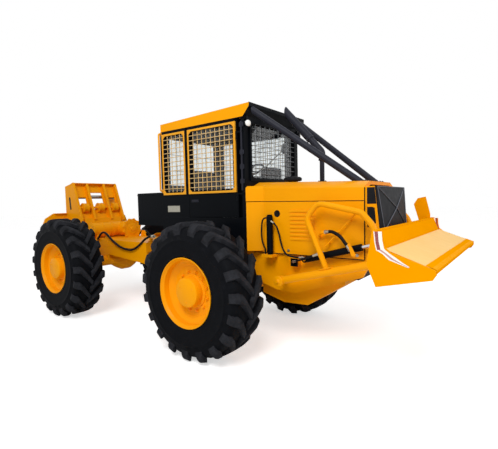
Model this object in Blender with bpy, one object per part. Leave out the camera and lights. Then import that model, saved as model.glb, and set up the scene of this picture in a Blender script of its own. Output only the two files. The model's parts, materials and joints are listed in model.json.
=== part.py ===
"""Articulated cable skidder: front frame with cab, engine and blade, rear frame with winch and arch.

Metres, +Z up, +X forward, +Y to the machine's left. The ground is z = 0 and the origin is
under the middle of the machine. Lengths along the machine are given from the front axle.
"""
import math

import bmesh
import bpy
from mathutils import Matrix, Vector

for old in list(bpy.data.objects):
    bpy.data.objects.remove(old, do_unlink=True)

# Clearances
seat_gap = 0.0003
pin_gap = 0.0005
panel_gap = 0.006

# Main layout, x measured from the front axle
half_length = 3.1575
front_axle_x = 0.8225
wheelbase = 2.85
hinge_back = 1.425
half_track = 1.01

# Wheels
tyre_radius = 0.74
tyre_width = 0.456
lugs_per_side = 19
lug_lead = math.radians(13)
shoulder_drop = 0.055
shoulder_width = 0.055
# Beside the shoulder a lug runs straight across, and stands flat on the ground there
contact_width = 0.050
rim_radius = 0.375
rim_width = 0.445
rim_wall = 0.017
hub_radius = 0.14
drum_radius = 0.158
drum_face = 0.196
disc_face = 0.085
wheel_sides = 36
wheel_z = tyre_radius

# Axles
axle_tube_radius = 0.085
axle_case_radius = 0.19

# Front frame
frame_half = 0.43
frame_plate = 0.03
frame_top = 1.10
frame_front = 1.64
frame_rear = -1.15
frame_low = 0.76

# Hinge between the frames
hinge_pin_radius = 0.05
hinge_lug_radius = 0.15
hinge_lug_thick = 0.06
hinge_low = 0.74
hinge_high = 1.06

# Hood and nose
hood_half = 0.46
hood_wall = 0.03
hood_low = 1.11
hood_rear_top = 1.84
hood_front_top = 1.795
hood_crown = 0.045
hood_front = 1.62
nose_top = hood_front_top - 0.005
nose_top_x = 1.71
nose_low_x = 1.755
nose_half = 0.445
screen_low = 1.37
louvre_count = 8
louvre_step = 0.0419
louvre_low = 1.271
louvre_rear = 0.827
louvre_front = 1.113
louvre_height = 0.010

# Upright cylinder beside the hood, with its hose
side_cylinder_x = 0.606
side_cylinder_y = 0.52
side_cylinder_low = 1.1003
side_cylinder_high = 1.529
side_cylinder_radius = 0.035
hose_radius = 0.009

# Cab
cab_half = 0.578
cab_wall = 0.05
cab_front = 0.335
cab_rear = -1.07
cab_low = 1.12
cab_floor = 0.05
door_low = 1.50
belt_z = 1.775
eaves_z = 2.60
door_front = 0.228
door_rear = -0.55
front_wall = 0.045
hinge_out = 0.004
hinge_heights = (1.72, 2.40)
header = 0.05
guard_depth = 0.018
rail_y = 0.62
lamp_y = 0.535
lamp_z = eaves_z - 0.05
front_sill = 1.93
rear_sill = 1.90
window_half = 0.46
seat_top = 1.50
roof_half = 0.60
roof_front = 0.42
roof_rear = -1.03
roof_front_z = eaves_z + 0.135
roof_rear_z = eaves_z + 0.095
box_rear = -1.60
box_low = 1.375
box_top = 1.82

# Blade and its arms
arm_pivot_x = 0.771
arm_pivot_z = 0.843
arm_y = 0.585
arm_radius = 0.04
arm_slope = math.radians(14.5)
blade_half = 1.04
blade_plate = 0.022
hoop_radius = 0.028

# Lift cylinders
lift_y = 0.50
lift_radius = 0.033
lift_rod_radius = 0.017
lift_base = (1.02, 1.07)
lift_eye = (1.76, 1.27)
lift_barrel_share = 0.80

# Steering cylinders
steer_y = 0.27
steer_base_x = -0.85
steer_eye_x = -1.66
steer_z = 0.91
steer_radius = 0.035
steer_rod_radius = 0.018
steer_barrel_share = 0.64

# Rear frame
rear_half = 0.37
rear_top = 1.095
rear_low = 0.77
rear_front = -1.75
rear_end = -3.50
winch_x = -3.20
winch_z = 1.24
winch_radius = 0.125
winch_half = 0.39
case_y = 0.20
case_z = 1.235
case_front = -2.85
case_radius = 0.13
flange_radius = 0.19
flange_thick = 0.04
flange_notch = 0.022
flange_lobes = 12
arch_half = 0.43
arch_foot_x = -3.50
arch_head_x = -3.76
arch_foot_z = 1.36
arch_head_z = 2.04
arch_rib = 0.03
arch_rib_y = 0.166
arch_depth = 0.10
bay_margin = 0.025
sheave_radius = 0.08
sheave_half = 0.05
sheave_share = 0.36
sheave_forward = 0.06
butt_x = -3.945
butt_half = 0.87
butt_low = 0.68
butt_high = 1.54


def along(x):
    """World x of a length measured from the front axle."""
    return front_axle_x + x


def paint(name, red, green, blue, roughness, metallic=0.0):
    """A Principled material with the part's colour."""
    material = bpy.data.materials.new(name)
    material.use_nodes = True
    shader = material.node_tree.nodes["Principled BSDF"]
    shader.inputs["Base Color"].default_value = (red, green, blue, 1.0)
    shader.inputs["Roughness"].default_value = roughness
    shader.inputs["Metallic"].default_value = metallic
    material.diffuse_color = (red, green, blue, 1.0)
    return material


LOOKS = {
    # name: red, green, blue, roughness, metallic
    "yellow": (0.90, 0.37, 0.01, 0.35, 0.0),
    "black": (0.012, 0.014, 0.018, 0.35, 0.0),
    "grey": (0.035, 0.036, 0.045, 0.45, 0.0),
    "rubber": (0.018, 0.018, 0.020, 0.85, 0.0),
    "steel": (0.55, 0.55, 0.56, 0.35, 1.0),
    "cloth": (0.03, 0.03, 0.032, 0.9, 0.0),
    "iron": (0.10, 0.10, 0.10, 0.6, 0.6),
}


def mesh_object(name, bm):
    """An object from a bmesh, with its faces pointing out."""
    bm.normal_update()
    bmesh.ops.recalc_face_normals(bm, faces=bm.faces[:])
    mesh = bpy.data.meshes.new(name)
    bm.to_mesh(mesh)
    bm.free()
    piece = bpy.data.objects.new(name, mesh)
    bpy.context.scene.collection.objects.link(piece)
    return piece


def box(low, high):
    """A block between two corners."""
    bm = bmesh.new()
    bmesh.ops.create_cube(bm, size=1.0)
    low, high = Vector(low), Vector(high)
    for vert in bm.verts:
        vert.co = Vector(low[i] + (vert.co[i] + 0.5) * (high[i] - low[i]) for i in range(3))
    return mesh_object("block", bm)


def slab(outline, y_low, y_high):
    """An outline in x and z, thickened along y."""
    bm = bmesh.new()
    near = [bm.verts.new((x, y_low, z)) for x, z in outline]
    far = [bm.verts.new((x, y_high, z)) for x, z in outline]
    close_loft(bm, [near, far])
    return mesh_object("slab", bm)


def plan(outline, z_low, z_high):
    """An outline in x and y, thickened along z."""
    bm = bmesh.new()
    lower = [bm.verts.new((x, y, z_low)) for x, y in outline]
    upper = [bm.verts.new((x, y, z_high)) for x, y in outline]
    close_loft(bm, [lower, upper])
    return mesh_object("plan", bm)


def upright(outline, x_low, x_high):
    """An outline in y and z, thickened along x."""
    bm = bmesh.new()
    rear = [bm.verts.new((x_low, y, z)) for y, z in outline]
    front = [bm.verts.new((x_high, y, z)) for y, z in outline]
    close_loft(bm, [rear, front])
    return mesh_object("upright", bm)


def close_loft(bm, rings):
    """Sides between rings of equal count, and a flat cap on each end."""
    count = len(rings[0])
    for first, second in zip(rings, rings[1:]):
        for i in range(count):
            j = (i + 1) % count
            bm.faces.new((first[i], first[j], second[j], second[i]))
    bm.faces.new(rings[0][::-1])
    bm.faces.new(rings[-1])


def turned(profile, sides, centre, axis="Y"):
    """A closed profile of (radius, along) pairs turned round an axis; zero radii close on it."""
    bm = bmesh.new()
    rings = []
    for radius, height in profile:
        if radius < 1e-6:
            rings.append([bm.verts.new((0.0, 0.0, height))])
            continue
        turn = [math.tau * (k + 0.5) / sides for k in range(sides)]
        rings.append([bm.verts.new((radius * math.cos(t), radius * math.sin(t), height)) for t in turn])
    pairs = list(zip(rings, rings[1:] + rings[:1]))
    for first, second in pairs:
        if len(first) == 1 and len(second) == 1:
            continue
        for i in range(sides):
            j = (i + 1) % sides
            corners = [first[i % len(first)], first[j % len(first)], second[j % len(second)],
                       second[i % len(second)]]
            bm.faces.new(list(dict.fromkeys(corners)))
    turn_to = {"Z": Matrix.Identity(4), "Y": Matrix.Rotation(math.radians(-90), 4, "X"),
               "X": Matrix.Rotation(math.radians(90), 4, "Y")}[axis]
    bm.transform(Matrix.Translation(Vector(centre)) @ turn_to)
    return mesh_object("turned", bm)


def rod(start, end, radius, sides=16):
    """A round bar between two points."""
    start, end = Vector(start), Vector(end)
    bm = bmesh.new()
    span = end - start
    bmesh.ops.create_cone(bm, cap_ends=True, segments=sides, radius1=radius, radius2=radius, depth=span.length)
    turn = span.to_track_quat("Z", "Y").to_matrix().to_4x4()
    bm.transform(Matrix.Translation((start + end) / 2) @ turn)
    return mesh_object("rod", bm)


def rounded_path(points, bend, steps=4):
    """The points of a path with each inner corner rounded to a bend radius."""
    points = [Vector(p) for p in points]
    path = [points[0]]
    for before, corner, after in zip(points, points[1:], points[2:]):
        inward = (before - corner).normalized()
        outward = (after - corner).normalized()
        half = inward.angle(outward) / 2
        reach = min(bend / math.tan(half), 0.45 * min((before - corner).length, (after - corner).length))
        start, end = corner + inward * reach, corner + outward * reach
        for k in range(steps + 1):
            t = k / steps
            path.append(start * (1 - t) ** 2 + corner * 2 * t * (1 - t) + end * t ** 2)
    path.append(points[-1])
    return path


def tube(points, radius, bend=0.12, sides=10, steps=4):
    """A round bar along a path with rounded corners."""
    path = rounded_path(points, bend, steps)
    bm = bmesh.new()
    rings = []
    side = None
    for i, here in enumerate(path):
        before, after = path[max(i - 1, 0)], path[min(i + 1, len(path) - 1)]
        ahead = (after - before).normalized()
        if side is None:
            side = ahead.orthogonal().normalized()
        side = (side - ahead * side.dot(ahead)).normalized()
        across = ahead.cross(side)
        ring = []
        for k in range(sides):
            t = math.tau * k / sides
            ring.append(bm.verts.new(here + radius * (side * math.cos(t) + across * math.sin(t))))
        rings.append(ring)
    close_loft(bm, rings)
    return mesh_object("tube", bm)


def solid(name, look, adds, cuts=(), origin=(0.0, 0.0, 0.0)):
    """One node: its pieces joined, its cutters taken away, its origin placed."""
    base = adds[0]
    steps = [("UNION", piece) for piece in adds[1:]] + [("DIFFERENCE", piece) for piece in cuts]
    for operation, piece in steps:
        modifier = base.modifiers.new(operation.title(), "BOOLEAN")
        modifier.operation = operation
        modifier.solver = "EXACT"
        modifier.object = piece
    view = bpy.context.evaluated_depsgraph_get()
    mesh = bpy.data.meshes.new_from_object(base.evaluated_get(view))
    for piece in [base] + [piece for _, piece in steps]:
        bpy.data.objects.remove(piece, do_unlink=True)
    mesh.transform(Matrix.Translation(-Vector(origin)))
    mesh.name = name
    mesh.materials.clear()
    mesh.materials.append(paint(name, *LOOKS[look]))
    mesh.shade_smooth()
    mesh.set_sharp_from_angle(angle=math.radians(32))
    node = bpy.data.objects.new(name, mesh)
    node.location = origin
    bpy.context.scene.collection.objects.link(node)
    return node


def pivot(name, place, nodes):
    """An empty on a joint's axis that carries its nodes."""
    empty = bpy.data.objects.new(name, None)
    empty.location = place
    bpy.context.scene.collection.objects.link(empty)
    for node in nodes:
        node.parent = empty
        node.location = Vector(node.location) - Vector(place)
    return empty


def ordered(a, b):
    return (a, b) if a < b else (b, a)


def side_box(side, x_low, x_high, y_inner, y_outer, z_low, z_high):
    """A block on one side of the machine."""
    y_low, y_high = ordered(side * y_inner, side * y_outer)
    return box((along(x_low), y_low, z_low), (along(x_high), y_high, z_high))


def cross_box(x_low, x_high, half, z_low, z_high):
    """A block across the machine."""
    return box((along(x_low), -half, z_low), (along(x_high), half, z_high))


def side_slab(side, outline, y_inner, y_outer):
    """A plate on one side, its outline in x from the front axle and z."""
    y_low, y_high = ordered(side * y_inner, side * y_outer)
    return slab([(along(x), z) for x, z in outline], y_low, y_high)


def make_tyre(name, x, side):
    """Tyre: a ring seated round the rim, with lugs in a chevron that leads at its middle."""
    steps = 3 * lugs_per_side
    flat = math.cos(math.pi / steps)
    seat = (rim_radius - 0.025 + pin_gap) / flat
    bead = (rim_radius + pin_gap) / flat
    tread = tyre_radius / flat
    lip = rim_width / 2
    half = tyre_width / 2
    stagger = math.pi / lugs_per_side
    section = [
        # radius on a lug, radius between lugs, along the axle, lag behind the outer row's tips
        (seat, seat, lip - 0.035, 0.0), (bead, bead, lip - 0.010, 0.0),
        (tread - shoulder_drop, tyre_radius - 0.090, half, 0.0),
        (tread, tyre_radius - 0.050, half - shoulder_width, 0.0),
        (tread, tyre_radius - 0.048, half - shoulder_width - contact_width, 0.0),
        (tyre_radius - 0.001, tyre_radius - 0.045, 0.02, -lug_lead),
        (tyre_radius - 0.001, tyre_radius - 0.045, -0.02, stagger - lug_lead),
        (tread - 0.001, tyre_radius - 0.048, shoulder_width + contact_width - half, stagger),
        (tread - 0.001, tyre_radius - 0.050, shoulder_width - half, stagger),
        (tread - shoulder_drop, tyre_radius - 0.090, -half, stagger),
        (bead, bead, 0.010 - lip, 0.0), (seat, seat, 0.035 - lip, 0.0),
    ]
    bm = bmesh.new()
    rings = []
    for high, low, out, lag in section:
        ring = []
        for k in range(steps):
            angle = math.tau * (k - 0.5) / steps - math.pi / 2 + lag
            radius = low if k % 3 == 2 else high
            ring.append(bm.verts.new((radius * math.cos(angle), side * out, radius * math.sin(angle))))
        rings.append(ring)
    for first, second in zip(rings, rings[1:] + rings[:1]):
        for i in range(steps):
            j = (i + 1) % steps
            bm.faces.new((first[i], first[j], second[j], second[i]))
    bmesh.ops.triangulate(bm, faces=bm.faces[:])
    centre = (along(x), side * half_track, wheel_z)
    bm.transform(Matrix.Translation(Vector(centre)))
    return solid(name, "rubber", [mesh_object("tyre", bm)], origin=centre)


def make_rim(name, x, side):
    """Rim: barrel with flanges, dished disc and hub drum, its hollow facing outwards."""
    lip = rim_width / 2
    seat = rim_radius - 0.025
    inner = seat - rim_wall
    dish = [
        # radius, outwards along the axle
        (0.0, drum_face), (drum_radius, drum_face), (drum_radius, disc_face), (inner - 0.04, disc_face),
        (inner, disc_face + 0.035), (inner, lip - 0.025), (inner + 0.022, lip), (rim_radius, lip),
        (rim_radius, lip - 0.010), (seat, lip - 0.035),
        (seat, 0.035 - lip), (rim_radius, 0.010 - lip), (rim_radius, -lip), (inner + 0.022, -lip),
        (inner, 0.025 - lip), (inner, disc_face - 0.02), (hub_radius, disc_face - 0.02), (hub_radius, -0.05),
        (0.0, -0.05),
    ]
    profile = [(radius, side * out) for radius, out in dish]
    centre = (along(x), side * half_track, wheel_z)
    return solid(name, "yellow", [turned(profile, wheel_sides, centre)], origin=centre)


def make_axle(name, x):
    """Axle: a tube between the wheels with hub flanges and a round final drive case."""
    end = half_track - 0.05 - pin_gap
    centre = (along(x), 0.0, wheel_z)
    profile = [
        # radius, along the axle
        (0.0, -end), (hub_radius, -end), (hub_radius, 0.07 - end), (axle_tube_radius, 0.12 - end),
        (axle_tube_radius, -0.26), (0.75 * axle_case_radius, -0.17), (axle_case_radius, -0.07),
        (axle_case_radius, 0.07), (0.75 * axle_case_radius, 0.17), (axle_tube_radius, 0.26),
        (axle_tube_radius, end - 0.12), (hub_radius, end - 0.07), (hub_radius, end), (0.0, end),
    ]
    return turned(profile, 20, centre)


def make_wheels():
    """The wheels of both axles."""
    for row, x in (("front", 0.0), ("rear", -wheelbase)):
        for word, side in (("left", 1), ("right", -1)):
            tyre = make_tyre(f"tyre_{row}_{word}", x, side)
            rim = make_rim(f"rim_{row}_{word}", x, side)
            pivot(f"wheel_{row}_{word}_axis", (along(x), side * half_track, wheel_z), [tyre, rim])


def frame_plate_outline():
    """Side plate of the front frame: deep at the blade arms, lower at the hinge."""
    return [
        # x from the front axle, z
        (frame_rear, frame_low + 0.02), (-0.30, frame_low + 0.09), (0.30, frame_low + 0.09), (0.45, frame_low - 0.01),
        (0.62, 0.70), (0.86, 0.69), (frame_front - 0.05, 0.93), (frame_front, 1.02), (frame_front, frame_top),
        (frame_rear, frame_top),
    ]


def make_front_frame():
    """Front frame: side plates, cross plates, belly pan, and the fork of the centre hinge."""
    adds = []
    for side in (1, -1):
        adds.append(side_slab(side, frame_plate_outline(), frame_half - frame_plate, frame_half))
    inner = frame_half - 0.5 * frame_plate
    adds.append(cross_box(frame_rear - 0.03, frame_rear + 0.03, frame_half, hinge_low, frame_top))
    adds.append(cross_box(-0.30, -0.26, inner, 0.88, frame_top - 0.02))
    adds.append(cross_box(0.26, 0.30, inner, 0.88, frame_top - 0.02))
    adds.append(cross_box(frame_front - 0.04, frame_front - 0.01, inner, 1.00, frame_top - 0.02))
    belly = [(0.33, 0.60), (0.62, 0.52), (0.92, 0.53), (1.35, 0.80), (1.35, 0.86), (0.34, 0.86)]
    adds.append(slab([(along(x), z) for x, z in belly], -0.27, 0.27))
    adds.append(cross_box(0.40, 1.30, inner, 0.83, 0.87))
    for z in (hinge_low, hinge_high - hinge_lug_thick):
        lug = [(along(frame_rear), -0.22), (along(frame_rear), 0.22)]
        for k in range(13):
            turn = math.radians(75 + 210 * k / 12)
            lug.append((along(-hinge_back) + hinge_lug_radius * math.cos(turn), hinge_lug_radius * math.sin(turn)))
        adds.append(plan(lug, z, z + hinge_lug_thick))
    for side in (1, -1):
        pin = arm_y + arm_radius + 0.012
        adds.append(rod((along(arm_pivot_x), side * (frame_half - 0.02), arm_pivot_z),
                        (along(arm_pivot_x), side * pin, arm_pivot_z), 0.022))
        adds.append(rod((along(lift_base[0]), side * (frame_half - 0.02), lift_base[1]),
                        (along(lift_base[0]), side * (lift_y + 0.03), lift_base[1]), 0.014))
        adds.append(rod((along(steer_base_x), side * steer_y, steer_z - 0.08),
                        (along(steer_base_x), side * steer_y, steer_z + 0.06), 0.016))
        adds.append(side_box(side, steer_base_x - 0.05, steer_base_x + 0.05, steer_y - 0.03, frame_half - 0.01,
                             steer_z - 0.090, steer_z - 0.045))
        adds.append(side_box(side, side_cylinder_x - 0.085, side_cylinder_x + 0.045, frame_half - 0.01,
                             side_cylinder_y + 0.04, frame_top - 0.03, side_cylinder_low - seat_gap))
        adds.append(side_box(side, 0.86, 0.935, frame_half - 0.01, side_cylinder_y - 0.01, 0.995, 1.07))
    cuts = [steer_window(side, frame_rear, 0.11, 0.05) for side in (1, -1)]
    cuts += [rod((along(-hinge_back), 0.0, 0.5), (along(-hinge_back), 0.0, 1.3), hinge_pin_radius + pin_gap, 24)]
    return solid("chassis_front", "yellow", adds, cuts)


def make_front_axle():
    """Front axle with the pads that hold it under the frame."""
    adds = [make_axle("front_axle", 0.0)]
    for side in (1, -1):
        adds.append(side_box(side, -0.10, 0.10, frame_half - frame_plate, frame_half,
                             wheel_z, frame_low + 0.09 - seat_gap))
    return solid("front_axle", "yellow", adds)


def make_rear_axle():
    """Rear axle with the pads that hold it under the rear frame."""
    adds = [make_axle("rear_axle", -wheelbase)]
    for side in (1, -1):
        adds.append(side_box(side, -wheelbase - 0.10, -wheelbase + 0.10, rear_half - frame_plate, rear_half,
                             wheel_z, 0.85 - seat_gap))
    return solid("rear_axle", "yellow", adds)


def hood_ring(x, top, inset):
    """Hood section at one x, from the right foot over the top to the left foot."""
    half = hood_half - inset
    crown = top + hood_crown - inset
    edge = top - inset
    foot = hood_low
    return [(x, -half, foot), (x, -half, edge - 0.02), (x, -half + 0.03, edge), (x, -half + 0.14, crown),
            (x, half - 0.14, crown), (x, half - 0.03, edge), (x, half, edge - 0.02), (x, half, foot)]


def make_hood():
    """Hood: an open shell over the engine, lower at its front."""
    bm = bmesh.new()
    rings = []
    for x, top in ((cab_front + seat_gap, hood_rear_top), (hood_front, hood_front_top)):
        outer = hood_ring(along(x), top, 0.0)
        inner = hood_ring(along(x), top, hood_wall)
        rings.append([bm.verts.new(p) for p in outer + inner[::-1]])
    close_loft(bm, rings)
    adds = [mesh_object("hood", bm)]
    for side in (1, -1):
        for k in range(louvre_count):
            z = louvre_low + k * louvre_step
            adds.append(side_box(side, louvre_rear, louvre_front, hood_half - 0.01, hood_half + louvre_height,
                                 z - 0.009, z + 0.009))
    return solid("hood", "yellow", adds)


def make_nose():
    """Nose: the frame round the radiator, its front sloping forward, open at the front and sides."""
    x0 = hood_front + seat_gap
    wall = 0.035
    side_view = [(x0, frame_top + seat_gap), (nose_top_x, frame_top + seat_gap), (nose_low_x, screen_low),
                 (nose_top_x, nose_top), (x0, nose_top)]
    adds = [slab([(along(x), z) for x, z in side_view], -nose_half, nose_half)]
    cuts = [cross_box(x0 - 0.1, nose_low_x + 0.1, nose_half - wall, frame_top + 0.06, nose_top - wall)]
    for z_low, z_high in ((1.63, nose_top - 0.02), (screen_low + 0.04, 1.60)):
        cuts.append(cross_box(x0 + 0.02, nose_top_x - 0.015, 1.0, z_low, z_high))
    return solid("nose", "yellow", adds, cuts)


def make_screen():
    """Radiator screen on the nose: a pressed plate whose four facets meet in a shallow point."""
    bm = bmesh.new()
    rings = []
    half_head, half_rim = nose_half - 0.005, 0.37
    for lift, half_foot in ((2 * seat_gap, half_head), (0.022, half_rim)):
        corners = [(nose_top_x + lift, -half_head, nose_top), (nose_top_x + lift, half_head, nose_top),
                   (nose_low_x + lift, half_foot, screen_low), (nose_low_x + lift, -half_foot, screen_low)]
        rings.append([bm.verts.new((along(x), y, z)) for x, y, z in corners])
    point = bm.verts.new((along((nose_top_x + nose_low_x) / 2 + 0.045), 0.0, (nose_top + screen_low) / 2))
    for i in range(4):
        j = (i + 1) % 4
        bm.faces.new((rings[0][i], rings[0][j], rings[1][j], rings[1][i]))
        bm.faces.new((rings[1][i], rings[1][j], point))
    bm.faces.new(rings[0])
    return solid("grille_screen", "black", [mesh_object("screen", bm)])


def make_engine():
    """Engine: one plain block on the frame, under the hood."""
    return solid("engine_block", "iron", [cross_box(0.45, 1.50, 0.29, 0.87 + seat_gap, 1.66)])


def make_cab_tub():
    """Cab floor with the low side walls under the doors."""
    adds = [cross_box(cab_rear, cab_front, cab_half, cab_low, cab_low + cab_floor)]
    for side in (1, -1):
        adds.append(side_box(side, cab_rear + cab_wall + seat_gap, cab_front - front_wall - seat_gap,
                             cab_half - cab_wall, cab_half,
                             cab_low + 0.01, door_low - panel_gap))
        adds.append(side_box(side, -0.95, -0.85, 0.30, 0.36, frame_top + seat_gap, cab_low + 0.01))
        adds.append(side_box(side, 0.10, 0.20, 0.30, 0.36, frame_top + seat_gap, cab_low + 0.01))
    return adds


def window(x_low, x_high, z_low, z_high, side):
    """A cutter through a side wall."""
    return side_box(side, x_low, x_high, cab_half - 2 * cab_wall, cab_half + cab_wall, z_low, z_high)


def guard_frame(side, x_low, x_high):
    """The frame of a window guard, standing proud of a side panel; its window cuts it open."""
    return side_box(side, x_low, x_high, cab_half - 0.01, cab_half + guard_depth, belt_z + 0.008, eaves_z - 0.012)


def grab_rail(side):
    """A handrail at a rear corner of the cab."""
    x, low, high = cab_rear + 0.5 * cab_wall, belt_z + 0.06, eaves_z - 0.02
    return tube([(along(x), side * (cab_half - 0.02), high), (along(x), side * rail_y, high),
                 (along(x), side * rail_y, low), (along(x), side * (cab_half - 0.02), low)], 0.011, 0.03, 8, 2)


def front_lamp(side):
    """A round work lamp on a front post of the cab."""
    return turned([(0.0, 0.0), (0.03, 0.0), (0.036, 0.045), (0.0, 0.045)], 16,
                  (along(cab_front - 0.005), side * lamp_y, lamp_z), "X")


def make_cab():
    """The cab: tub, front and rear walls, side panels and roof, hollow inside."""
    solid("cab_tub", "black", make_cab_tub())
    floor = cab_low + cab_floor + seat_gap
    eaves = eaves_z - seat_gap
    front = [cross_box(cab_front - front_wall, cab_front, cab_half, floor, eaves)]
    for side in (1, -1):
        front.append(side_box(side, door_front - 0.04, cab_front - 0.01, cab_half - 2 * cab_wall,
                              cab_half - cab_wall - 0.005, floor, eaves))
        front += hinge_straps(side)
        front.append(front_lamp(side))
    glass = [cross_box(cab_front - 0.085, cab_front + 0.165, window_half, front_sill, eaves_z - header)]
    solid("cab_front_wall", "black", front, glass)
    rear = [cross_box(cab_rear, cab_rear + cab_wall, cab_half, floor, eaves)]
    rear += [grab_rail(side) for side in (1, -1)]
    rear_glass = [cross_box(cab_rear - 0.1, cab_rear + 0.17, window_half, rear_sill, eaves_z - 0.07)]
    solid("cab_rear_wall", "black", rear, rear_glass)
    for word, side in (("left", 1), ("right", -1)):
        x0, x1 = cab_rear + cab_wall + seat_gap, door_rear - panel_gap
        wall = side_box(side, x0, x1, cab_half - cab_wall, cab_half, door_low - panel_gap + seat_gap, eaves)
        guard = guard_frame(side, x0 + 0.005, x1 - 0.010)
        glass = [window(x0 + 0.04, x1 - 0.040, belt_z + 0.04, eaves_z - header, side)]
        solid(f"cab_side_{word}", "black", [wall, guard], glass)
    roof = [(along(roof_rear), eaves_z), (along(cab_front), eaves_z), (along(roof_front), eaves_z + 0.10),
            (along(roof_front), roof_front_z), (along(roof_rear), roof_rear_z)]
    solid("cab_roof", "yellow", [slab(roof, -roof_half, roof_half)])
    make_doors()


def hinge_straps(side):
    """The straps and pins on the front wall that the doors hang on."""
    pieces = []
    for z in hinge_heights:
        eye = Vector((along(door_front), side * (cab_half + hinge_out), z))
        pieces.append(rod(eye + Vector((0, 0, 0.036)), eye + Vector((0, 0, 0.052)), 0.013, 12))
        pieces.append(side_box(side, door_front, cab_front - 0.02, cab_half - 0.004, cab_half + 0.012,
                               z + 0.036, z + 0.052))
        pieces.append(rod(eye + Vector((0, 0, -0.034)), eye + Vector((0, 0, 0.044)), 0.006, 12))
    return pieces


def make_doors():
    """Two doors, each with its guarded window, hinged on the front posts."""
    for word, side in (("left", 1), ("right", -1)):
        panel = side_box(side, door_rear, door_front, cab_half - cab_wall, cab_half, door_low, eaves_z - 0.006)
        hinge = (along(door_front), side * (cab_half + hinge_out), 0.0)
        adds = [panel, guard_frame(side, door_rear + 0.010, door_front - 0.026)]
        cuts = [window(door_rear + 0.045, door_front - 0.050, belt_z + 0.04, eaves_z - 0.065, side)]
        for z in hinge_heights:
            place = Vector(hinge) + Vector((0.0, 0.0, z))
            adds.append(rod(place - Vector((0, 0, 0.035)), place + Vector((0, 0, 0.035)), 0.013, 12))
            cuts.append(rod(place - Vector((0, 0, 0.06)), place + Vector((0, 0, 0.06)), 0.006 + pin_gap, 12))
            cuts.append(box(place + Vector((-0.022, -0.1, 0.0355)), place + Vector((0.02, 0.1, 0.058))))
        door = solid(f"door_{word}", "black", adds, cuts, origin=hinge)
        pivot(f"door_{word}_hinge", hinge, [door])


def make_rear_box():
    """Tank box behind the cab, on its bearers from the frame."""
    adds = [cross_box(box_rear, cab_rear - seat_gap, cab_half, box_low, box_top)]
    for side in (1, -1):
        adds.append(side_box(side, frame_rear, -1.08, 0.28, 0.36, frame_top + seat_gap, box_low + 0.02))
    return solid("tank_box", "black", adds)


def make_seat():
    """Driver's seat: a pedestal, and a cushion with a back."""
    floor = cab_low + cab_floor + seat_gap
    solid("seat_pedestal", "grey", [box((along(-0.72), -0.17, floor), (along(-0.36), 0.17, seat_top))])
    low = seat_top + seat_gap
    cushion = [(-0.80, low), (-0.28, low), (-0.26, seat_top + 0.10), (-0.68, seat_top + 0.12),
               (-0.80, seat_top + 0.64), (-0.90, seat_top + 0.63), (-0.84, seat_top + 0.10)]
    solid("seat_cushion", "cloth", [slab([(along(x), z) for x, z in cushion], -0.24, 0.24)])


def make_console():
    """Instrument console with the steering column and wheel."""
    floor = cab_low + cab_floor + seat_gap
    shape = [(0.02, floor), (cab_front - front_wall - seat_gap, floor), (cab_front - front_wall - seat_gap, 1.92),
             (0.16, 1.98), (0.06, 1.90)]
    desk = slab([(along(x), z) for x, z in shape], -0.30, 0.30)
    foot = Vector((along(0.055), 0.0, 1.80))
    top = foot + Vector((-0.10, 0.0, 0.26))
    ahead = (top - foot).normalized()
    ring = []
    for k in range(24):
        turn = math.tau * k / 24
        side = Vector((0, 1, 0))
        across = ahead.cross(side)
        ring.append(top + 0.19 * (side * math.cos(turn) + across * math.sin(turn)))
    wheel = ring_tube(ring, 0.013)
    spokes = [rod(top, ring[k], 0.010, 8) for k in (0, 8, 16)]
    column = rod(foot - ahead * 0.02 + Vector((0.02, 0, 0)), top + ahead * 0.02, 0.025, 12)
    return solid("steering_console", "grey", [desk, column, wheel] + spokes)


def ring_tube(points, radius, sides=8):
    """A round bar along a closed ring of points."""
    bm = bmesh.new()
    middle = sum(points, Vector()) / len(points)
    normal = (points[0] - middle).cross(points[1] - middle).normalized()
    rings = []
    for point in points:
        out = (point - middle).normalized()
        rings.append([bm.verts.new(point + radius * (out * math.cos(math.tau * k / sides)
                                                     + normal * math.sin(math.tau * k / sides)))
                      for k in range(sides)])
    for first, second in zip(rings, rings[1:] + rings[:1]):
        for i in range(sides):
            j = (i + 1) % sides
            bm.faces.new((first[i], first[j], second[j], second[i]))
    return mesh_object("ring", bm)


def hood_top(x):
    """Height of the hood's crown at x."""
    share = (x - cab_front) / (hood_front - cab_front)
    return hood_rear_top + share * (hood_front_top - hood_rear_top) + hood_crown


def hood_clear():
    """A cutter that trims what stands on the hood to its sloping top."""
    line = [(x, hood_top(x) + seat_gap) for x in (cab_front, hood_front)]
    return slab([(along(x), z) for x, z in [(cab_front, 1.0), (hood_front, 1.0)] + line[::-1]], -0.4, 0.4)


def make_exhaust():
    """Exhaust: an upright pipe, an elbow and a thick slanted tail pipe."""
    foot = Vector((along(0.975), 0.0, hood_top(0.975) - 0.01))
    elbow = Vector((along(0.975), 0.0, 2.21))
    tip = Vector((along(0.50), 0.0, roof_front_z - 0.005))
    pipe = tube([foot, elbow, elbow + (tip - elbow) * 0.3], 0.026, bend=0.08)
    tail = rod(elbow + (tip - elbow) * 0.15, tip, 0.046, 16)
    flange = turned([(0.0, 0.0), (0.05, 0.0), (0.05, 0.025), (0.0, 0.025)], 16, foot, "Z")
    return solid("exhaust", "grey", [flange, pipe, tail], [hood_clear()])


def make_intake():
    """Air intake cap: a flat drum on a short neck."""
    x = 0.655
    base = hood_top(x) - 0.01
    profile = [(0.0, 0.0), (0.05, 0.0), (0.05, 0.03), (0.085, 0.035), (0.09, 0.05), (0.085, 0.07), (0.0, 0.075)]
    return solid("intake_cap", "grey", [turned(profile, 20, (along(x), -0.10, base), "Z")], [hood_clear()])


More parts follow.
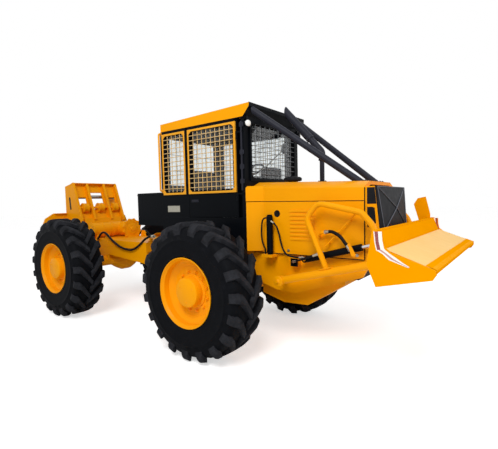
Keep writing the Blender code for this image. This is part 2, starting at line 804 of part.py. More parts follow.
def make_guards():
    """Guard tubes from the roof's front corners down to the hood's front."""
    for word, side in (("left", 1), ("right", -1)):
        head = Vector((along(roof_front - 0.015), side * 0.53, roof_front_z - 0.063))
        foot_x = 1.52
        foot = Vector((along(foot_x), side * 0.22, hood_top(foot_x) - 0.02))
        roof_clear = cross_box(-0.5, roof_front + seat_gap, 1.0, 2.0, 3.0)
        solid(f"guard_tube_{word}", "grey", [rod(head, foot, 0.036, 12)], [roof_clear, hood_clear()])


def make_side_cylinders():
    """The upright cylinders beside the hood, each with a hose from its head to the frame."""
    for word, side in (("left", 1), ("right", -1)):
        low, high = side_cylinder_low, side_cylinder_high
        profile = [(0.0, low), (0.028, low), (0.028, low + 0.015), (side_cylinder_radius, low + 0.020),
                   (side_cylinder_radius, high - 0.020), (0.028, high - 0.012), (0.028, high), (0.0, high)]
        place = (along(side_cylinder_x), side * side_cylinder_y, 0.0)
        solid(f"side_cylinder_{word}", "black", [turned(profile, 20, place, "Z")])
        port = side_cylinder_x - side_cylinder_radius * math.cos(math.pi / 20) - seat_gap
        route = [(port, 0.520, 1.492), (port - 0.024, 0.520, 1.492), (port - 0.031, 0.520, 1.492),
                 (0.518, 0.524, 1.468), (0.507, 0.528, 1.410), (0.503, 0.529, 1.330), (0.509, 0.528, 1.250),
                 (0.527, 0.524, 1.190), (0.544, 0.520, 1.150), (0.544, 0.520, 1.125),
                 (0.544, 0.520, side_cylinder_low)]
        hose(f"cylinder_hose_{word}", [(along(x), side * y, z) for x, y, z in route], hose_radius)


def smooth_points(points, spacing):
    """Evenly spaced points on a smooth curve through a route's points."""
    points = [Vector(p) for p in points]
    ends = [2 * points[0] - points[1]] + points + [2 * points[-1] - points[-2]]
    fine = []
    for p0, p1, p2, p3 in zip(ends, ends[1:], ends[2:], ends[3:]):
        for k in range(12):
            t = k / 12
            fine.append(0.5 * (2 * p1 + (p2 - p0) * t + (2 * p0 - 5 * p1 + 4 * p2 - p3) * t ** 2
                               + (3 * p1 - p0 - 3 * p2 + p3) * t ** 3))
    fine.append(points[-1])
    kept = [fine[0]]
    for point in fine[1:-1]:
        if (point - kept[-1]).length >= spacing and (point - points[-1]).length > 0.5 * spacing:
            kept.append(point)
    return kept + [points[-1]]


def hose(name, route, radius):
    """A hose along a route: a poly curve with a round bevel and filled ends."""
    path = smooth_points(route, 2.2 * radius)
    curve = bpy.data.curves.new(name, "CURVE")
    curve.dimensions = "3D"
    curve.bevel_depth = radius
    curve.bevel_resolution = 2
    curve.use_fill_caps = True
    spline = curve.splines.new("POLY")
    spline.points.add(len(path) - 1)
    for point, place in zip(spline.points, path):
        point.co = (*place, 1.0)
    curve.materials.append(paint(name, *LOOKS["rubber"]))
    tube_object = bpy.data.objects.new(name, curve)
    bpy.context.scene.collection.objects.link(tube_object)
    return tube_object


def make_lift_cylinders():
    """Lift cylinders beside the nose: each barrel turns on its pin, its rod slides in it."""
    base = Vector((along(lift_base[0]), 0.0, lift_base[1]))
    eye = Vector((along(lift_eye[0]), 0.0, lift_eye[1]))
    for word, side in (("left", 1), ("right", -1)):
        cylinder(f"lift_{word}", base + Vector((0, side * lift_y, 0)), eye + Vector((0, side * lift_y, 0)),
                 lift_radius, lift_rod_radius, lift_barrel_share, "Y", 0.014, 0.12)


def make_steering_cylinders():
    """Steering cylinders across the centre hinge."""
    for word, side in (("left", 1), ("right", -1)):
        base = Vector((along(steer_base_x), side * steer_y, steer_z))
        eye = Vector((along(steer_eye_x), side * steer_y, steer_z))
        cylinder(f"steer_{word}", base, eye, steer_radius, steer_rod_radius, steer_barrel_share, "Z", 0.016, 0.26)


def cylinder(name, base, eye, radius, rod_radius, share, pin_axis, pin_radius, rod_start):
    """A hydraulic cylinder: a hollow barrel on its pin and a chrome rod with an open eye."""
    span = eye - base
    ahead = span.normalized()
    pin = Vector((0, 1, 0)) if pin_axis == "Y" else Vector((0, 0, 1))
    wide = 0.02
    tail = base + ahead * 0.02
    head = base + span * share
    barrel = rod(tail, head, radius, 16)
    lug = rod(base - pin * wide, base + pin * wide, pin_radius + 0.016, 16)
    bore = rod(base + ahead * 0.07, head + ahead, rod_radius + pin_gap, 16)
    hole = rod(base - pin * 0.1, base + pin * 0.1, pin_radius + pin_gap, 16)
    solid(f"{name}_barrel", "black", [barrel, lug], [bore, hole], origin=base)
    bar = rod(base + ahead * rod_start, eye - ahead * 0.02, rod_radius, 16)
    ring = rod(eye - pin * wide, eye + pin * wide, pin_radius + 0.016, 16)
    ring_hole = rod(eye - pin * 0.1, eye + pin * 0.1, pin_radius + 0.001, 16)
    solid(f"{name}_rod", "steel", [bar, ring], [ring_hole], origin=base)


def make_blade():
    """Blade: a folded sheet on a box beam, with a plate at each end."""
    sheet = [
        # x from the front axle, z
        (1.895, 1.430), (1.918, 1.430), (1.975, 1.292), (half_length - front_axle_x, 1.165),
        (half_length - front_axle_x - 0.008, 1.143), (1.960, 1.268),
    ]
    beam = [(1.875, 1.10), (1.975, 1.10), (2.02, 1.25), (1.955, 1.275), (1.875, 1.24)]
    plate = [
        (1.890, 1.436), (1.925, 1.436), (1.955, 1.33), (2.03, 1.27), (2.325, 1.17),
        (half_length - front_axle_x, 1.135), (2.31, 1.095), (1.915, 1.003), (1.845, 1.175),
    ]
    adds = [slab([(along(x), z) for x, z in sheet], -blade_half + 0.002, blade_half - 0.002),
            slab([(along(x), z) for x, z in beam], -0.92, 0.92)]
    for side in (1, -1):
        adds.append(side_slab(side, plate, blade_half - blade_plate, blade_half))
        ear = [(lift_eye[0] - 0.03, lift_eye[1] - 0.03), (lift_eye[0] + 0.02, lift_eye[1] - 0.03), (1.90, 1.12),
               (1.90, 1.23), (lift_eye[0] + 0.02, lift_eye[1] + 0.03), (lift_eye[0] - 0.03, lift_eye[1] + 0.03)]
        adds.append(side_slab(side, ear, lift_y + 0.022, lift_y + 0.040))
    log_stop = [(1.900, 1.15), (1.885, 1.15), (1.80, 1.35), (1.727, 1.598), (1.771, 1.668), (1.855, 1.684),
                (1.905, 1.48), (1.905, 1.30)]
    adds.append(side_slab(1, log_stop, 0.89, 0.91))
    return solid("blade", "yellow", adds)


def make_arms():
    """Push arms with their guard hoops, one each side, turning on the frame's pins."""
    arms = []
    for word, side in (("left", 1), ("right", -1)):
        def at(x, z):
            return Vector((along(x), side * arm_y, z))
        ahead = Vector((math.cos(arm_slope), 0, math.sin(arm_slope)))
        root = at(arm_pivot_x, arm_pivot_z)
        end = root + ahead * ((1.875 - seat_gap - arm_pivot_x) / math.cos(arm_slope))
        bar = rod(root + ahead * 0.03, end, arm_radius, 14)
        knuckle = rod(root - Vector((0, 0.04, 0)), root + Vector((0, 0.04, 0)), 0.045, 16)
        hoop = tube([at(1.30, 1.00), at(1.085, 1.50), at(1.21, 1.645), at(1.64, 1.555), at(1.73, 1.45),
                     at(1.80, 1.30), at(1.83, 1.15)], hoop_radius, bend=0.10, sides=10, steps=3)
        cuts = [rod(root - Vector((0, 0.3, 0)), root + Vector((0, 0.3, 0)), 0.022 + pin_gap, 16),
                box((along(1.875 - seat_gap), side * arm_y - 0.2, 0.9), (along(2.2), side * arm_y + 0.2, 1.6))]
        arms.append(solid(f"push_arm_{word}", "yellow", [bar, knuckle, hoop], cuts))
    return arms


def make_blade_group():
    """The blade with its arms, on the axis of the arm pins."""
    nodes = [make_blade()] + make_arms()
    pivot("blade_axis", (along(arm_pivot_x), 0.0, arm_pivot_z), nodes)


def make_rear_frame():
    """Rear frame: side plates, deck, cross plates, and the tongue and pin of the centre hinge."""
    plate = [(rear_front, rear_low), (-2.70, 0.85), (-3.00, 0.85), (rear_end, 0.90), (rear_end, rear_top),
             (rear_front, rear_top)]
    adds = [side_slab(side, plate, rear_half - frame_plate, rear_half) for side in (1, -1)]
    adds.append(cross_box(rear_front - 0.02, rear_front + 0.02, rear_half, rear_low, rear_top))
    adds.append(cross_box(rear_end, rear_end + 0.04, rear_half, 0.90, rear_top))
    adds.append(cross_box(rear_end, rear_front, rear_half - 0.005, rear_top - 0.03, rear_top))
    tongue_low, tongue_high = hinge_low + hinge_lug_thick + 0.006, hinge_high - hinge_lug_thick - 0.006
    tongue = [(along(rear_front), 0.16), (along(rear_front), -0.16)]
    for k in range(13):
        turn = math.radians(-80 + 160 * k / 12)
        tongue.append((along(-hinge_back) + 0.13 * math.cos(turn), 0.13 * math.sin(turn)))
    adds.append(plan(tongue, tongue_low, tongue_high))
    adds.append(rod((along(-hinge_back), 0, hinge_low - 0.02), (along(-hinge_back), 0, hinge_high + 0.02),
                    hinge_pin_radius, 24))
    for side in (1, -1):
        adds.append(rod((along(steer_eye_x), side * steer_y, steer_z - 0.055),
                        (along(steer_eye_x), side * steer_y, steer_z - 0.0205), 0.03, 12))
        adds.append(side_box(side, rear_front, steer_eye_x + 0.03, steer_y - 0.04, steer_y + 0.04,
                             steer_z - 0.07, steer_z - 0.05))
    cuts = [steer_window(side, rear_front, 0.075, 0.04) for side in (1, -1)]
    return solid("chassis_rear", "yellow", adds, cuts)


def steer_window(side, x, half_width, half_height):
    """The hole in a cross plate that a steering cylinder reaches through."""
    return side_box(side, x - 0.06, x + 0.06, steer_y - half_width, steer_y + half_width,
                    steer_z - half_height, steer_z + half_height)


def lobed_disc(x_low, x_high):
    """The gear case's front flange, facing forward, with a lobe at each bolt."""
    bm = bmesh.new()
    rings = []
    for x in (x_low, x_high):
        ring = []
        for k in range(2 * flange_lobes):
            turn = math.tau * k / (2 * flange_lobes)
            reach = flange_radius - (0.0 if k % 2 else flange_notch)
            ring.append(bm.verts.new((along(x), case_y + reach * math.cos(turn), case_z + reach * math.sin(turn))))
        rings.append(ring)
    close_loft(bm, rings)
    return mesh_object("lobed_disc", bm)


def make_winch():
    """Winch: a seamed drum case across the frame, and a gear case in front of its left end."""
    def bar(y_low, y_high, radius):
        return rod((along(winch_x), y_low, winch_z), (along(winch_x), y_high, winch_z), radius, 24)
    adds = [bar(-winch_half, winch_half, winch_radius), bar(-0.02, 0.02, winch_radius + 0.008)]
    case_end = along(case_front - 0.5 * flange_thick)
    adds.append(rod((along(winch_x), case_y, case_z), (case_end, case_y, case_z), case_radius, 24))
    adds.append(lobed_disc(case_front - flange_thick, case_front))
    for side in (1, -1):
        adds.append(side_box(side, winch_x - 0.10, winch_x + 0.10, 0.30, 0.34, rear_top - 0.01, winch_z))
    deck_clear = cross_box(rear_end, rear_front, 1.0, rear_low, rear_top + seat_gap)
    return solid("winch", "yellow", adds, [deck_clear])


def arch_point(share, forward=0.0):
    """A point up the leaning arch, and forward of its back plate."""
    lean = Vector((arch_head_x - arch_foot_x, 0.0, arch_head_z - arch_foot_z))
    front = Vector((lean.z, 0.0, -lean.x)).normalized()
    point = Vector((arch_foot_x, 0.0, arch_foot_z)) + lean * share + front * forward
    return (point.x, point.z)


def make_arch():
    """Rear arch: a leaning back plate with ribs, open bays for the cables, and deep side cheeks."""
    rear_reach = -butt_x - seat_gap
    back = [arch_point(0.0), arch_point(1.0), arch_point(1.0, 0.02), arch_point(0.0, 0.02)]
    adds = [slab([(along(x), z) for x, z in back], -arch_half + 0.004, arch_half - 0.004)]
    rib = [arch_point(0.02, 0.01), arch_point(0.98, 0.01), arch_point(0.97, arch_depth), arch_point(0.03, arch_depth)]
    for side in (1, -1):
        adds.append(side_slab(side, rib, arch_rib_y - 0.5 * arch_rib, arch_rib_y + 0.5 * arch_rib))
        cheek = [(-rear_reach, 1.30), arch_point(-0.03, 0.0), arch_point(-0.01, arch_depth),
                 arch_point(1.01, arch_depth), arch_point(1.02, 0.0), (-rear_reach, arch_head_z - 0.02)]
        adds.append(side_slab(side, cheek, arch_half - arch_rib, arch_half))
    foot = [(arch_foot_x - 0.05, rear_top + seat_gap), (arch_foot_x + 0.13, rear_top + seat_gap),
            arch_point(0.08, 0.08), arch_point(0.08, 0.01), (-rear_reach + 0.12, 1.36)]
    adds.append(slab([(along(x), z) for x, z in foot], -rear_half + 0.01, rear_half - 0.01))
    sheave_x, sheave_z = arch_point(sheave_share, sheave_forward)
    shaft = arch_half - 0.5 * arch_rib
    adds.append(rod((along(sheave_x), -shaft, sheave_z), (along(sheave_x), shaft, sheave_z), 0.022, 12))
    side_bay = 0.5 * (arch_half - arch_rib + arch_rib_y + 0.5 * arch_rib)
    side_opening = 0.5 * (arch_half - 1.5 * arch_rib - arch_rib_y) - bay_margin
    bays = [
        # middle of the bay, half the opening's width, the opening's top up the arch
        (-side_bay, side_opening, 0.66), (0.0, arch_rib_y - 0.5 * arch_rib - bay_margin, 0.79),
        (side_bay, side_opening, 0.66),
    ]
    cuts = []
    for y, opening, top in bays:
        bay = [arch_point(0.34, -0.05), arch_point(top, -0.05), arch_point(top, 0.022), arch_point(0.34, 0.022)]
        cuts.append(slab([(along(x), z) for x, z in bay], y - opening, y + opening))
        adds.append(rod((along(sheave_x), y - sheave_half, sheave_z), (along(sheave_x), y + sheave_half, sheave_z),
                        sheave_radius, 20))
    return solid("rear_arch", "yellow", adds, cuts)


def make_butt_plate():
    """Butt plate behind the rear wheels, on two arms from the rear frame."""
    rear_face = -half_length - front_axle_x
    edge = [(butt_half, butt_low), (butt_half, 1.28), (butt_half - 0.07, 1.45), (butt_half - 0.22, butt_high)]
    face = edge + [(-y, z) for y, z in reversed(edge)]
    adds = [upright(face, along(rear_face), along(butt_x))]
    for side in (1, -1):
        adds.append(side_box(side, butt_x - 0.01, rear_end - seat_gap, 0.22, 0.26, 0.90, 1.07))
    return solid("butt_plate", "yellow", adds)


def make_rear():
    """The rear frame and all it carries, on the axis of the centre hinge."""
    nodes = [make_rear_frame(), make_rear_axle(), make_winch(), make_arch(), make_butt_plate()]
    pivot("centre_hinge", (along(-hinge_back), 0.0, 0.0), nodes)


make_wheels()
make_front_frame()
make_front_axle()
make_hood()
make_nose()
make_screen()
make_engine()
make_cab()
make_rear_box()
make_seat()
make_console()
make_exhaust()
make_intake()
make_guards()
make_side_cylinders()
make_lift_cylinders()
make_steering_cylinders()
make_blade_group()
make_rear()
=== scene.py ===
# %% [markdown]
# # An articulated cable skidder
# A skidder drags felled trees out of the forest. Two frames are pinned together behind the cab: the
# front one carries the engine, cab and blade, the rear one the winch and the cable arch.
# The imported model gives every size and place. This lesson dresses it: first the tools that shape a
# mesh, then the finishes, then the pieces from the ground up, and at the end the light and camera.

# %% Load the frame
import json
import math

import bmesh
import bpy
from mathutils import Matrix, Vector


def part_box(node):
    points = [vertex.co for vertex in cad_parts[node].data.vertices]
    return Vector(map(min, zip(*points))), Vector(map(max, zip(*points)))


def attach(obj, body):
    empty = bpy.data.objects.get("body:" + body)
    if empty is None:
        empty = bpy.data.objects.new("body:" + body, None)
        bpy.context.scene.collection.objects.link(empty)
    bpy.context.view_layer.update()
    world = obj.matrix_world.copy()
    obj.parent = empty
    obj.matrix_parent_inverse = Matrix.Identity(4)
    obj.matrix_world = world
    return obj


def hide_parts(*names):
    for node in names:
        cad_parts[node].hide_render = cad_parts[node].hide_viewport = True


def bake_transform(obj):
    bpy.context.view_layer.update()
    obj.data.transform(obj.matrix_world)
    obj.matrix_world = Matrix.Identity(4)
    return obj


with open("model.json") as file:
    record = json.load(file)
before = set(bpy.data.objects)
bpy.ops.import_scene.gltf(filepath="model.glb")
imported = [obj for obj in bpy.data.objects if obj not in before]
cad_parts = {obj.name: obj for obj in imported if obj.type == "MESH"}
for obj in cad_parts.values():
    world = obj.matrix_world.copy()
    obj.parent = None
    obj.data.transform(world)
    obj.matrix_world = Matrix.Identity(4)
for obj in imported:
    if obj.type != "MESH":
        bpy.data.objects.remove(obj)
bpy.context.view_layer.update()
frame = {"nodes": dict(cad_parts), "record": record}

# %% [markdown]
# ## Driving places
# Lengths along the machine are measured from the front axle, as a mechanic would give them. The axle's
# place comes from the front tyre's box, so the scene follows the model when a size there changes.

# %% Places read from the frame
def middle(node_name):
    """The middle of a node's box."""
    low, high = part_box(node_name)
    return (Vector(low) + Vector(high)) / 2


wheel_centre = middle("tyre_front_left")
front_axle_x = wheel_centre.x
rear_axle_x = middle("tyre_rear_left").x
half_track = wheel_centre.y
tyre_radius = wheel_centre.z
print("front axle x", round(front_axle_x, 4), "half track", round(half_track, 4))


def at(x, y, z):
    """A point whose x is measured from the front axle."""
    return Vector((front_axle_x + x, y, z))


# %% [markdown]
# ## Shaping tools
# Sheet metal, bars, hoses and turned parts make up nearly all of a machine like this one. Each tool
# adds one such form to a bmesh, so a piece with many like parts is still one mesh. Edges are rounded
# later with a Bevel modifier, because real plate edges are never sharp and a small round catches light.

# %% Tools that add a form to a mesh
def bridge(bm, rings, caps=True, ring_closed=True, loop=False):
    """Faces between rings of equal count, with a cap on each end if asked."""
    count = len(rings[0])
    pairs = list(zip(rings, rings[1:]))
    if loop:
        pairs.append((rings[-1], rings[0]))
    for first, second in pairs:
        for i in range(count if ring_closed else count - 1):
            j = (i + 1) % count
            bm.faces.new((first[i], first[j], second[j], second[i]))
    if caps and not loop:
        bm.faces.new(rings[0][::-1])
        bm.faces.new(rings[-1])


def points_ring(bm, points):
    """Vertices for a list of points."""
    return [bm.verts.new(p) for p in points]


def block(bm, low, high):
    """A block between two corners."""
    corners = [(low[0], low[1]), (high[0], low[1]), (high[0], high[1]), (low[0], high[1])]
    bridge(bm, [points_ring(bm, [(x, y, z) for x, y in corners]) for z in (low[2], high[2])])


def side_block(bm, side, x_span, y_span, z_span):
    """A block on one side of the machine, its x measured from the front axle."""
    y_low, y_high = sorted((side * y_span[0], side * y_span[1]))
    block(bm, at(x_span[0], y_low, z_span[0]), at(x_span[1], y_high, z_span[1]))


def plate(bm, outline, y_low, y_high):
    """An outline in x from the front axle and z, as thick as from y_low to y_high."""
    bridge(bm, [points_ring(bm, [at(x, y, z) for x, z in outline]) for y in (y_low, y_high)])


def circle_points(centre, normal, radius, sides, turn=0.0):
    """Points round a circle that faces along a normal."""
    normal = Vector(normal).normalized()
    across = normal.orthogonal().normalized()
    upward = normal.cross(across)
    angles = [turn + math.tau * k / sides for k in range(sides)]
    return [Vector(centre) + radius * (across * math.cos(a) + upward * math.sin(a)) for a in angles]


def bar(bm, start, end, radius, sides=20, end_radius=None):
    """A round bar between two points, tapered if it has an end radius."""
    start, end = Vector(start), Vector(end)
    last = radius if end_radius is None else end_radius
    bridge(bm, [points_ring(bm, circle_points(start, end - start, radius, sides)),
                points_ring(bm, circle_points(end, end - start, last, sides))])


def lathe(bm, profile, centre, axis, sides=48):
    """A profile of (radius, distance along the axis) pairs turned round an axis."""
    axis = Vector(axis).normalized()
    rings = [points_ring(bm, circle_points(Vector(centre) + axis * out, axis, max(radius, 0.0004), sides))
             for radius, out in profile]
    bridge(bm, rings)


def smooth_path(points, steps=8):
    """A smooth curve through points, as a hose lies."""
    points = [Vector(p) for p in points]
    ends = [2 * points[0] - points[1]] + points + [2 * points[-1] - points[-2]]
    path = []
    for p0, p1, p2, p3 in zip(ends, ends[1:], ends[2:], ends[3:]):
        for k in range(steps):
            t = k / steps
            path.append(0.5 * (2 * p1 + (p2 - p0) * t + (2 * p0 - 5 * p1 + 4 * p2 - p3) * t ** 2
                               + (3 * p1 - p0 - 3 * p2 + p3) * t ** 3))
    return path + [points[-1]]


def rounded_path(points, bend, steps=6):
    """Straight runs with each corner rounded to a bend radius, as a bent pipe."""
    points = [Vector(p) for p in points]
    path = [points[0]]
    for before, corner, after in zip(points, points[1:], points[2:]):
        inward, outward = (before - corner).normalized(), (after - corner).normalized()
        reach = min(bend / math.tan(inward.angle(outward) / 2),
                    0.45 * min((before - corner).length, (after - corner).length))
        start, end = corner + inward * reach, corner + outward * reach
        path += [start * (1 - t) ** 2 + corner * 2 * t * (1 - t) + end * t ** 2
                 for t in (k / steps for k in range(steps + 1))]
    return path + [points[-1]]


def sweep(bm, path, radius, sides=12, loop=False):
    """A round section carried along a path."""
    rings = []
    side = None
    last = len(path) - 1
    for i, here in enumerate(path):
        before = path[i - 1] if loop else path[max(i - 1, 0)]
        after = path[(i + 1) % len(path)] if loop else path[min(i + 1, last)]
        ahead = (after - before).normalized()
        level = ahead.orthogonal() if side is None else side - ahead * side.dot(ahead)
        side = level.normalized()
        across = ahead.cross(side)
        rings.append(points_ring(bm, [here + radius * (side * math.cos(a) + across * math.sin(a))
                                      for a in (math.tau * k / sides for k in range(sides))]))
    bridge(bm, rings, loop=loop)


def make_piece(name, bm, finish, body, bevel=0.003, sharp=35):
    """A piece from a bmesh: its finish, its body and its rounded edges."""
    bm.normal_update()
    bmesh.ops.recalc_face_normals(bm, faces=bm.faces[:])
    mesh = bpy.data.meshes.new(name)
    bm.to_mesh(mesh)
    bm.free()
    mesh.materials.append(finish)
    mesh.shade_smooth()
    mesh.set_sharp_from_angle(angle=math.radians(sharp))
    thing = bpy.data.objects.new(name, mesh)
    bpy.context.scene.collection.objects.link(thing)
    if bevel:
        round_edges(thing, bevel)
    if body:
        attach(thing, body)
    return thing


def round_edges(thing, width, segments=2):
    """A Bevel modifier on the edges that turn by more than 30 degrees."""
    rounder = thing.modifiers.new("rounded_edges", "BEVEL")
    rounder.width = width
    rounder.segments = segments
    rounder.limit_method = "ANGLE"
    rounder.angle_limit = math.radians(30)
    rounder.harden_normals = True
    rounder.use_clamp_overlap = True


# %% [markdown]
# ## Finishes
# Every finish is a small tree of nodes on the Principled shader. Colours are written as sRGB hex, as a
# paint chart gives them, and one function turns them to the linear values that Blender mixes.
# Patterns use object coordinates, which are metres, so a scale of 1 / size gives a pattern of that size.

# %% Colour and node helpers
def linear(code):
    """An sRGB hex colour as linear red, green, blue and alpha."""
    parts = [int(code[i:i + 2], 16) / 255 for i in (1, 3, 5)]
    curve = [c / 12.92 if c <= 0.04045 else ((c + 0.055) / 1.055) ** 2.4 for c in parts]
    return (*curve, 1.0)


def add_node(tree, kind, settings=None, values=None, links=None):
    """One node with its settings, its input values and its links."""
    made = tree.nodes.new(kind)
    for name, setting in (settings or {}).items():
        setattr(made, name, setting)
    for socket, value in (values or {}).items():
        made.inputs[socket].default_value = value
    for socket, source in (links or {}).items():
        tree.links.new(source, made.inputs[socket])
    return made


def new_finish(name, **constants):
    """A material with its Principled shader and the constants set on the shader's own sockets."""
    finish = bpy.data.materials.new(name)
    finish.use_nodes = True
    shader = finish.node_tree.nodes["Principled BSDF"]
    for socket, value in constants.items():
        shader.inputs[socket.replace("_", " ").title().replace("Ior", "IOR")].default_value = value
    return finish, finish.node_tree, shader


# %% [markdown]
# Enamel on sheet steel is sprayed and air-dried. It is glossy, with a faint waviness that makes its
# reflections soft, a film of dust on what faces up, and paler rubbed edges. The wear comes from
# comparing the true normal with a rounded one: they differ only near an edge.

# %% Enamels
def rubbed_edges(tree, radius):
    """A mask that is bright along worn edges."""
    rounded = add_node(tree, "ShaderNodeBevel", {"samples": 4}, {"Radius": radius})
    true = add_node(tree, "ShaderNodeNewGeometry")
    match = add_node(tree, "ShaderNodeVectorMath", {"operation": "DOT_PRODUCT"},
                     links={0: rounded.outputs["Normal"], 1: true.outputs["Normal"]})
    return add_node(tree, "ShaderNodeMapRange", values={"From Min": 0.985, "From Max": 0.80},
                    links={"Value": match.outputs["Value"]}).outputs["Result"]


def enamel(name, paint, shade, worn, roughness, dust="#B9A88C", dust_amount=0.10, wear=0.5, waviness=0.020,
           gloss=0.09):
    """Sprayed enamel: two close tones, dust on top faces, rubbed edges, soft waviness."""
    # The studio is white all round, so the gloss level is set well below the usual half
    finish, tree, shader = new_finish(name, roughness=roughness, specular_ior_level=gloss)
    place = add_node(tree, "ShaderNodeTexCoord").outputs["Object"]
    # Tone drifts over about 0.4 m, as one pass of the spray gun covers
    drift = add_node(tree, "ShaderNodeTexNoise", values={"Scale": 2.5, "Detail": 3.0}, links={"Vector": place})
    tone = add_node(tree, "ShaderNodeMix", {"data_type": "RGBA"}, {6: linear(shade), 7: linear(paint)},
                    {0: drift.outputs["Fac"]})
    facing = add_node(tree, "ShaderNodeSeparateXYZ",
                      links={0: add_node(tree, "ShaderNodeNewGeometry").outputs["Normal"]})
    # Dust lies in blotches of about 60 mm
    specks = add_node(tree, "ShaderNodeTexNoise", values={"Scale": 16.0, "Detail": 5.0}, links={"Vector": place})
    upward = add_node(tree, "ShaderNodeMapRange", values={"From Min": 0.2, "From Max": 1.0, "To Max": dust_amount},
                      links={"Value": facing.outputs["Z"]})
    film = add_node(tree, "ShaderNodeMath", {"operation": "MULTIPLY"},
                    links={0: specks.outputs["Fac"], 1: upward.outputs["Result"]})
    dusty = add_node(tree, "ShaderNodeMix", {"data_type": "RGBA"}, {7: linear(dust)},
                     {0: film.outputs["Value"], 6: tone.outputs[2]})
    # Chips along the edges are broken up at about 25 mm
    chips = add_node(tree, "ShaderNodeTexNoise", values={"Scale": 40.0, "Detail": 2.0}, links={"Vector": place})
    chipped = add_node(tree, "ShaderNodeMapRange", values={"From Min": 0.35, "From Max": 0.75, "To Max": wear},
                       links={"Value": chips.outputs["Fac"]})
    edge = add_node(tree, "ShaderNodeMath", {"operation": "MULTIPLY"},
                    links={0: chipped.outputs["Result"], 1: rubbed_edges(tree, 0.006)})
    skin = add_node(tree, "ShaderNodeMix", {"data_type": "RGBA"}, {7: linear(worn)},
                    {0: edge.outputs["Value"], 6: dusty.outputs[2]})
    tree.links.new(skin.outputs[2], shader.inputs["Base Color"])
    sheen = add_node(tree, "ShaderNodeMapRange", values={"To Min": roughness - 0.06, "To Max": roughness + 0.14},
                     links={"Value": specks.outputs["Fac"]})
    tree.links.new(sheen.outputs["Result"], shader.inputs["Roughness"])
    # Real orange peel is 2 mm across, drawn wider so that it shows
    peel = add_node(tree, "ShaderNodeTexNoise", values={"Scale": 1 / waviness, "Detail": 1.0},
                    links={"Vector": place})
    bump = add_node(tree, "ShaderNodeBump", values={"Strength": 0.12, "Distance": 0.0015},
                    links={"Height": peel.outputs["Fac"]})
    tree.links.new(bump.outputs["Normal"], shader.inputs["Normal"])
    return finish


yellow_enamel = enamel("yellow_enamel", "#F8A500", "#F09A00", "#FFC24C", 0.34, dust_amount=0.03)
yellow_guard_enamel = enamel("yellow_guard_enamel", "#F3AC30", "#E2981C", "#FFD890", 0.42)
pale_wire_enamel = enamel("pale_guard_wire_enamel", "#E6C68C", "#CFA560", "#F5E6C8", 0.45)
black_enamel = enamel("black_enamel", "#0A0D12", "#07090C", "#22252B", 0.30, dust="#2A2A2E", dust_amount=0.08,
                      gloss=0.05)
charcoal_enamel = enamel("charcoal_satin_enamel", "#2B2C35", "#23242B", "#50525C", 0.42, dust="#55555A")
scoured_enamel = enamel("scoured_blade_enamel", "#FBD083", "#F6C46C", "#FFE9BE", 0.46, dust_amount=0.2)
screen_enamel = enamel("screen_satin_enamel", "#1B1C20", "#151619", "#3A3B40", 0.48, dust="#4A4A4E")
# The screen ribs' pale grey is a painted highlight: light on the ridges and rim of the pressed screen
screen_ridge_highlight_enamel = enamel("screen_rib_painted_highlight_enamel", "#5E6068", "#50525A", "#7C7E86", 0.48, dust="#6A6A6E")
# Soil and bark have taken the gloss off the blade
blade_enamel = enamel("dulled_blade_enamel", "#F6A000", "#EE9600", "#FFC24C", 0.60, dust_amount=0.0, gloss=0.0)
print("enamels", [m.name for m in bpy.data.materials if "enamel" in m.name])

# %% [markdown]
# Tyre rubber is moulded and matt. The sidewall stays nearly black with a blue cast, while the lugs are
# scuffed grey by the ground, so the two are separate finishes of one recipe: noise for colour, grain
# for bump. The grain of moulded rubber is under 1 mm, drawn at 6 mm here.

# %% Rubbers, cloth and plastics
def moulded(name, base, scuffed, roughness, grain, depth, scuff=0.5, gloss=0.10):
    """A matt moulded surface: base colour, scuffed colour and a fine grain."""
    finish, tree, shader = new_finish(name, roughness=roughness, specular_ior_level=gloss)
    place = add_node(tree, "ShaderNodeTexCoord").outputs["Object"]
    # Scuffs are patches of about 80 mm
    patches = add_node(tree, "ShaderNodeTexNoise", values={"Scale": 12.0, "Detail": 6.0, "Roughness": 0.65},
                       links={"Vector": place})
    share = add_node(tree, "ShaderNodeMapRange", values={"From Min": 0.3, "From Max": 0.7, "To Max": scuff},
                     links={"Value": patches.outputs["Fac"]})
    colour = add_node(tree, "ShaderNodeMix", {"data_type": "RGBA"}, {6: linear(base), 7: linear(scuffed)},
                      {0: share.outputs["Result"]})
    tree.links.new(colour.outputs[2], shader.inputs["Base Color"])
    fine = add_node(tree, "ShaderNodeTexNoise", values={"Scale": 1 / grain, "Detail": 3.0}, links={"Vector": place})
    bump = add_node(tree, "ShaderNodeBump", values={"Strength": 0.35, "Distance": depth},
                    links={"Height": fine.outputs["Fac"]})
    tree.links.new(bump.outputs["Normal"], shader.inputs["Normal"])
    return finish


sidewall_rubber = moulded("tyre_sidewall_rubber", "#08090C", "#111318", 0.60, 0.006, 0.0008, gloss=0.05)
lug_rubber = moulded("tyre_lug_rubber", "#16171A", "#323338", 0.74, 0.008, 0.0015, scuff=0.75, gloss=0.08)
hose_rubber = moulded("hydraulic_hose_rubber", "#0B0B0C", "#1B1B1D", 0.45, 0.004, 0.0004)
seal_rubber = moulded("window_seal_rubber", "#0D0D0F", "#1A1A1C", 0.70, 0.004, 0.0004)
black_plastic = moulded("moulded_black_plastic", "#121316", "#222327", 0.50, 0.003, 0.0003)
seat_cloth = moulded("woven_seat_cloth", "#17181B", "#26272C", 0.92, 0.003, 0.0010)
print("moulded finishes ready")

# %% [markdown]
# Bare metals keep the shader's default IOR: the metallic value alone gives their mirror colour. Chrome
# is almost smooth, zinc plate is dull and mottled, and cast iron is dark and rough.

